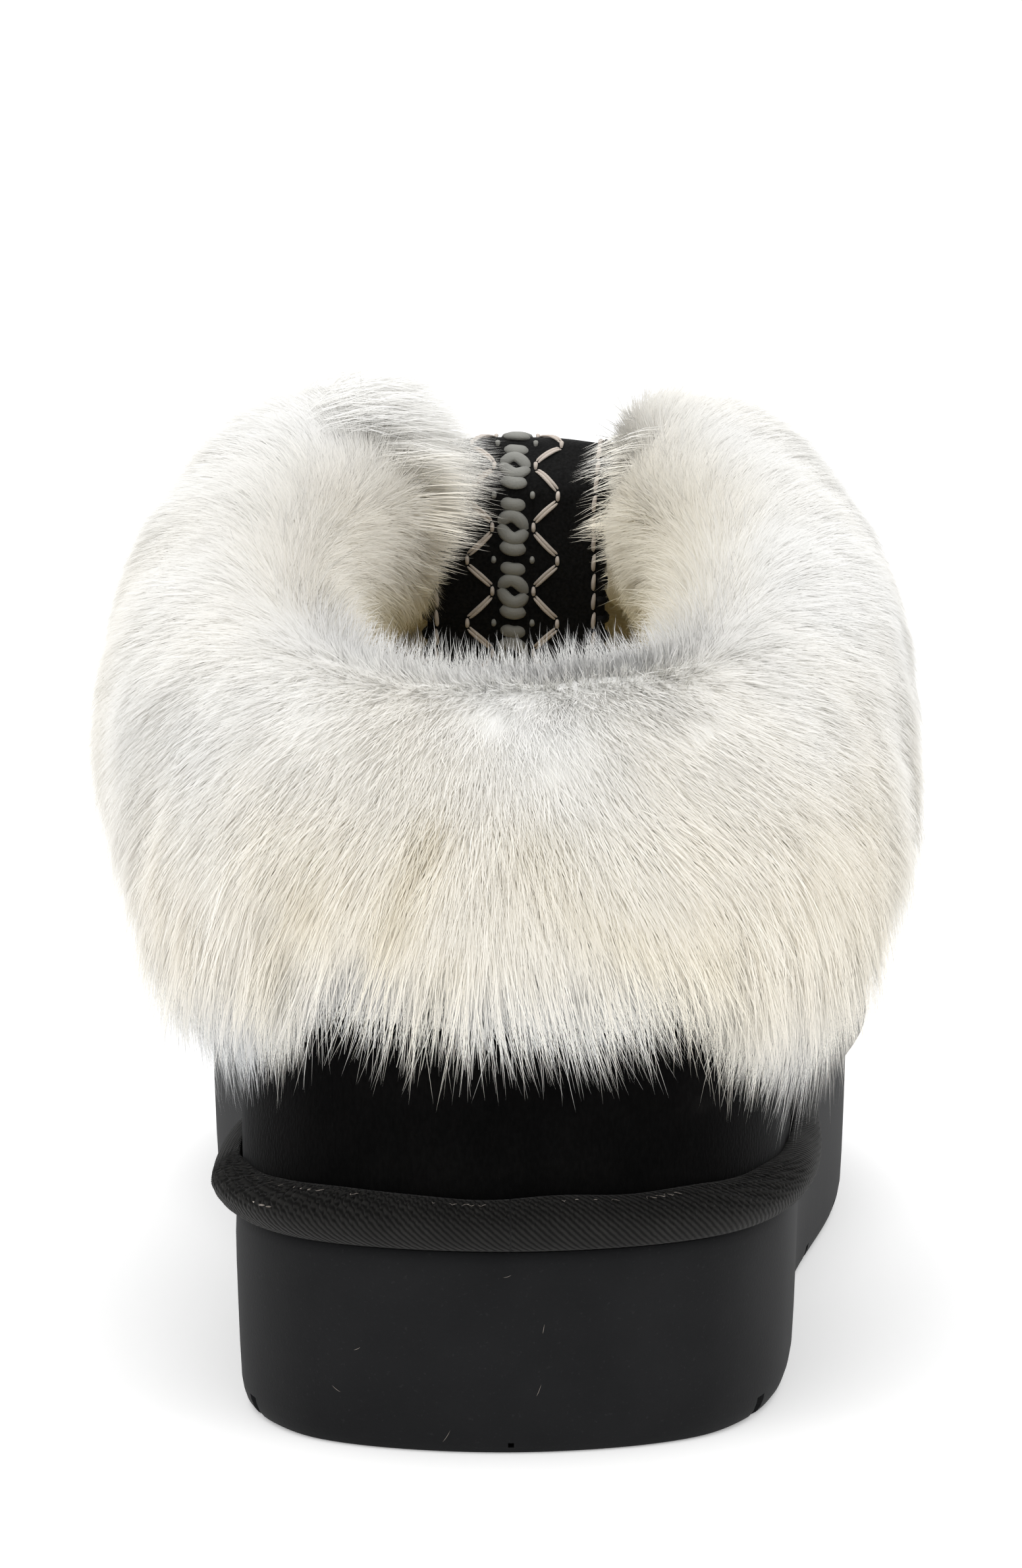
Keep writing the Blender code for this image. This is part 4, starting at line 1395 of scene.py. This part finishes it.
ZIGZAG_RADIUS = 0.28 * MM
ZIGZAG_APART = 0.8 * ZIGZAG_RADIUS
TURN_HALF = 0.75 * MM
TURN_RADIUS = 1.2 * ZIGZAG_RADIUS
TURN_ROOM = 0.8 * MM


def make_zigzag(strap, finish, rng):
    """White zigzags each side of the chain, of paired threads, with a short stitch at each turn."""
    soup = Soup()
    for half in range(int(strap.long / STITCH_PERIOD * 2)):
        start = (half + ZIGZAG_START) * STITCH_PERIOD / 2
        end = start + STITCH_PERIOD / 2 * ZIGZAG_RUN
        turn = start + STITCH_PERIOD / 2 * ZIGZAG_TURN
        if turn + TURN_ROOM > strap.long:
            break
        near, far = (STITCH_INNER, STITCH_OUTER) if half % 2 == 0 else (STITCH_OUTER, STITCH_INNER)
        for side in (-1, 1):
            tint = THREAD_WHITE * rng.uniform(0.9, 1.06)
            bend = far * side + STITCH_ASIDE
            first, last = np.array((start, near * side + STITCH_ASIDE)), np.array((end, bend))
            slope = last - first
            apart = np.array((-slope[1], slope[0])) / math.hypot(*slope) * ZIGZAG_APART
            for twin in (-1, 1):
                bar(strap, soup, first + twin * apart, last + twin * apart, ZIGZAG_RADIUS, tint)
            bar(strap, soup, (turn - TURN_HALF, bend), (turn + TURN_HALF, bend), TURN_RADIUS, tint)
    soup.piece("strap_zigzag", finish, "strap", ["instep_strap"])


# The strands of a link of the grey chain. rise: a strand's middle over the link's eye, bow: how much higher
# its middle is than its ends, and wide: half its width, in millimetres. lean: how it slopes.
Strand = namedtuple("Strand", "rise bow lean wide")
LINK = (
    Strand(3.40, -0.40, 0.12, 1.70),
    Strand(1.75, 1.65, 0.22, 1.95),
    Strand(-1.65, -1.65, 0.22, 1.95),
    Strand(-3.30, -0.65, 0.12, 1.70),
)
LINK_THICK = 1.02 * MM
LINK_FLAT = 0.55
LINK_STEPS = 15
LINK_SIDES = 8
DOT_HALF = 0.5 * MM
DOT_RADIUS = 0.4 * MM
DOT_TINT = THREAD_GREY * 1.05


def make_chain(strap, finish):
    """The grey chain down the middle: chunky links, each over the next, and a dot beside each meeting."""
    soup = Soup()
    share = np.linspace(-1, 1, LINK_STEPS)
    thick = LINK_THICK * (1 - 0.45 * share**6)
    for number in range(1, int(strap.long / STITCH_PERIOD)):
        centre = number * STITCH_PERIOD
        for strand in LINK:
            rise = strand.rise - strand.bow * share**2 + strand.lean * strand.wide * share
            lift = (0.5 - 0.35 * share**2 - 0.05 * strand.rise) * MM
            path, over = strap.at(centre + rise * MM, share * strand.wide * MM + STITCH_ASIDE, lift)
            # Painted shade: each strand lighter in its middle and darker towards its ends, where it dips into
            # the band.
            tint = np.repeat(THREAD_GREY * (1.1 - 0.25 * share**2)[:, None], LINK_SIDES, axis=0)
            tube(soup, path, thick, tint, over, LINK_SIDES, LINK_FLAT)
        for side in (-1, 1):
            aside = STITCH_ASIDE + side * STITCH_INNER * 0.93
            middle = centre + STITCH_PERIOD / 2
            bar(strap, soup, (middle - DOT_HALF, aside), (middle + DOT_HALF, aside), DOT_RADIUS, DOT_TINT)
    soup.piece("strap_chain", finish, "strap", ["instep_strap"])


EDGE_INSET = 1.5 * MM
EDGE_RADIUS = 0.36 * MM
EDGE_BACK = 1.4 * MM
EDGE_AHEAD = 1.3 * MM
EDGE_SKEW = 0.25 * MM
WHIP_INSET = 0.9 * MM
WHIP_OUT = 1.15 * MM
WHIP_HIGH = 0.95 * MM
WHIP_LOW = 0.75 * MM
WHIP_SLANT = 0.25 * MM
WHIP_RADIUS = 0.72 * MM
WHIP_TURN = np.linspace(0.1, 2.6, 9)


def make_edges(strap, finish, rng):
    """Black overcast stitches round both edges of the band, and a white row just inside them."""
    soup = Soup()
    rim = STRAP_WIDTH / 2
    level = 0 * WHIP_TURN
    for number in range(int(strap.long / EDGE_PITCH)):
        centre = (number + 0.5) * EDGE_PITCH
        along = centre + WHIP_SLANT * WHIP_TURN
        for side in (-1, 1):
            tint = THREAD_WHITE * rng.uniform(0.8, 1.0)
            inset = side * (rim - EDGE_INSET)
            first, last = (centre - EDGE_BACK, inset), (centre + EDGE_AHEAD, inset + side * EDGE_SKEW)
            bar(strap, soup, first, last, EDGE_RADIUS, tint)
            aside = side * (rim - WHIP_INSET + WHIP_OUT * np.sin(WHIP_TURN))
            held = np.clip(aside, -rim, rim)
            path, over = strap.at(along, held, WHIP_HIGH * np.cos(WHIP_TURN) - WHIP_LOW)
            at_edge, _ = strap.at(along, level + side * rim, level)
            within, _ = strap.at(along, level + side * (rim - 1 * MM), level)
            path = path + unit(at_edge - within) * np.abs(aside - held)[:, None]
            tube(soup, path, level + WHIP_RADIUS, THREAD_BLACK, over, sides=6)
    soup.piece("strap_edges", finish, "strap", ["instep_strap"])


def make_strap():
    """The band, crowned and closed at its ends, with its embroidery."""
    strap = Strap()
    webbing, thread = webbing_finish(), thread_finish()
    crown = STRAP_CROWN * (1 - np.linspace(-1, 1, STRAP_CROSS) ** 4)
    top = strap.face + strap.over * crown[None, :, None]
    grid = np.concatenate([top, strap.low[:, ::-1]], axis=1)
    middle = np.repeat(grid.mean(axis=1, keepdims=True), grid.shape[1], axis=1)
    grid = np.concatenate([middle[:1], grid, middle[-1:]])
    grid_piece("strap_band", grid, webbing, ["instep_strap"])
    rng = np.random.default_rng(STITCH_SEED)
    make_zigzag(strap, thread, rng)
    make_chain(strap, thread)
    make_edges(strap, thread, rng)


# Stage

# The camera stands behind the heel, a little above the collar, and looks slightly down.
CAMERA_PLACE = (0.0, -0.896, 0.2036)
CAMERA_TILT = 81.73
CAMERA_LENS = 133.7
SENSOR = 36.0
FLOOR_SIZE = 90
FLOOR_GLOW = 0.28
ROOM_LIGHT = 0.89
SHOE_MIDDLE = (0, 0, 0.07)


def make_camera():
    data = bpy.data.cameras.new("camera")
    data.lens = CAMERA_LENS
    data.sensor_width = SENSOR
    data.clip_start = 0.01
    camera = bpy.data.objects.new("camera", data)
    camera.location = CAMERA_PLACE
    camera.rotation_euler = (math.radians(CAMERA_TILT), 0, 0)
    bpy.context.scene.collection.objects.link(camera)
    bpy.context.scene.camera = camera


def make_floor():
    bpy.ops.mesh.primitive_plane_add(size=FLOOR_SIZE)
    floor = bpy.context.object
    floor.name = "floor"
    made, tree, shader = new_finish("pale_floor", grey(0.9), 0.9, 0.0)
    shade = ramp(tree, noise(tree, 400 * MM, 2), [(0.3, grey(0.955)), (0.7, grey(0.97))])
    tree.links.new(shade, shader.inputs["Base Color"])
    shader.inputs["Emission Color"].default_value = (1, 1, 1, 1)
    shader.inputs["Emission Strength"].default_value = FLOOR_GLOW
    floor.data.materials.append(made)


def area_light(name, place, size, power):
    """A soft light of this size, in metres, and power, in watts, turned to the shoe's middle."""
    data = bpy.data.lights.new(name, "AREA")
    data.shape = "RECTANGLE"
    data.size, data.size_y = size
    data.energy = power
    light = bpy.data.objects.new(name, data)
    light.location = place
    light.rotation_euler = (Vector(SHOE_MIDDLE) - Vector(place)).to_track_quat("-Z", "Y").to_euler()
    bpy.context.scene.collection.objects.link(light)


def make_stage():
    make_camera()
    make_floor()
    world = bpy.data.worlds.new("studio")
    world.use_nodes = True
    room = world.node_tree.nodes["Background"]
    room.inputs["Color"].default_value = (1, 1, 1, 1)
    room.inputs["Strength"].default_value = ROOM_LIGHT
    bpy.context.scene.world = world
    area_light("key", (-0.5, -0.9, 1.2), (1.0, 0.8), 1.5)
    area_light("top", (0.0, -0.15, 1.3), (1.2, 1.2), 6.5)
    bpy.context.scene.view_settings.view_transform = "Standard"


make_stage()
make_outsole()
make_lint()
make_binding()
make_upper()
FLEECE = fleece_finish()
make_lining(FLEECE)
make_insole(FLEECE)
make_fur()
make_strap()
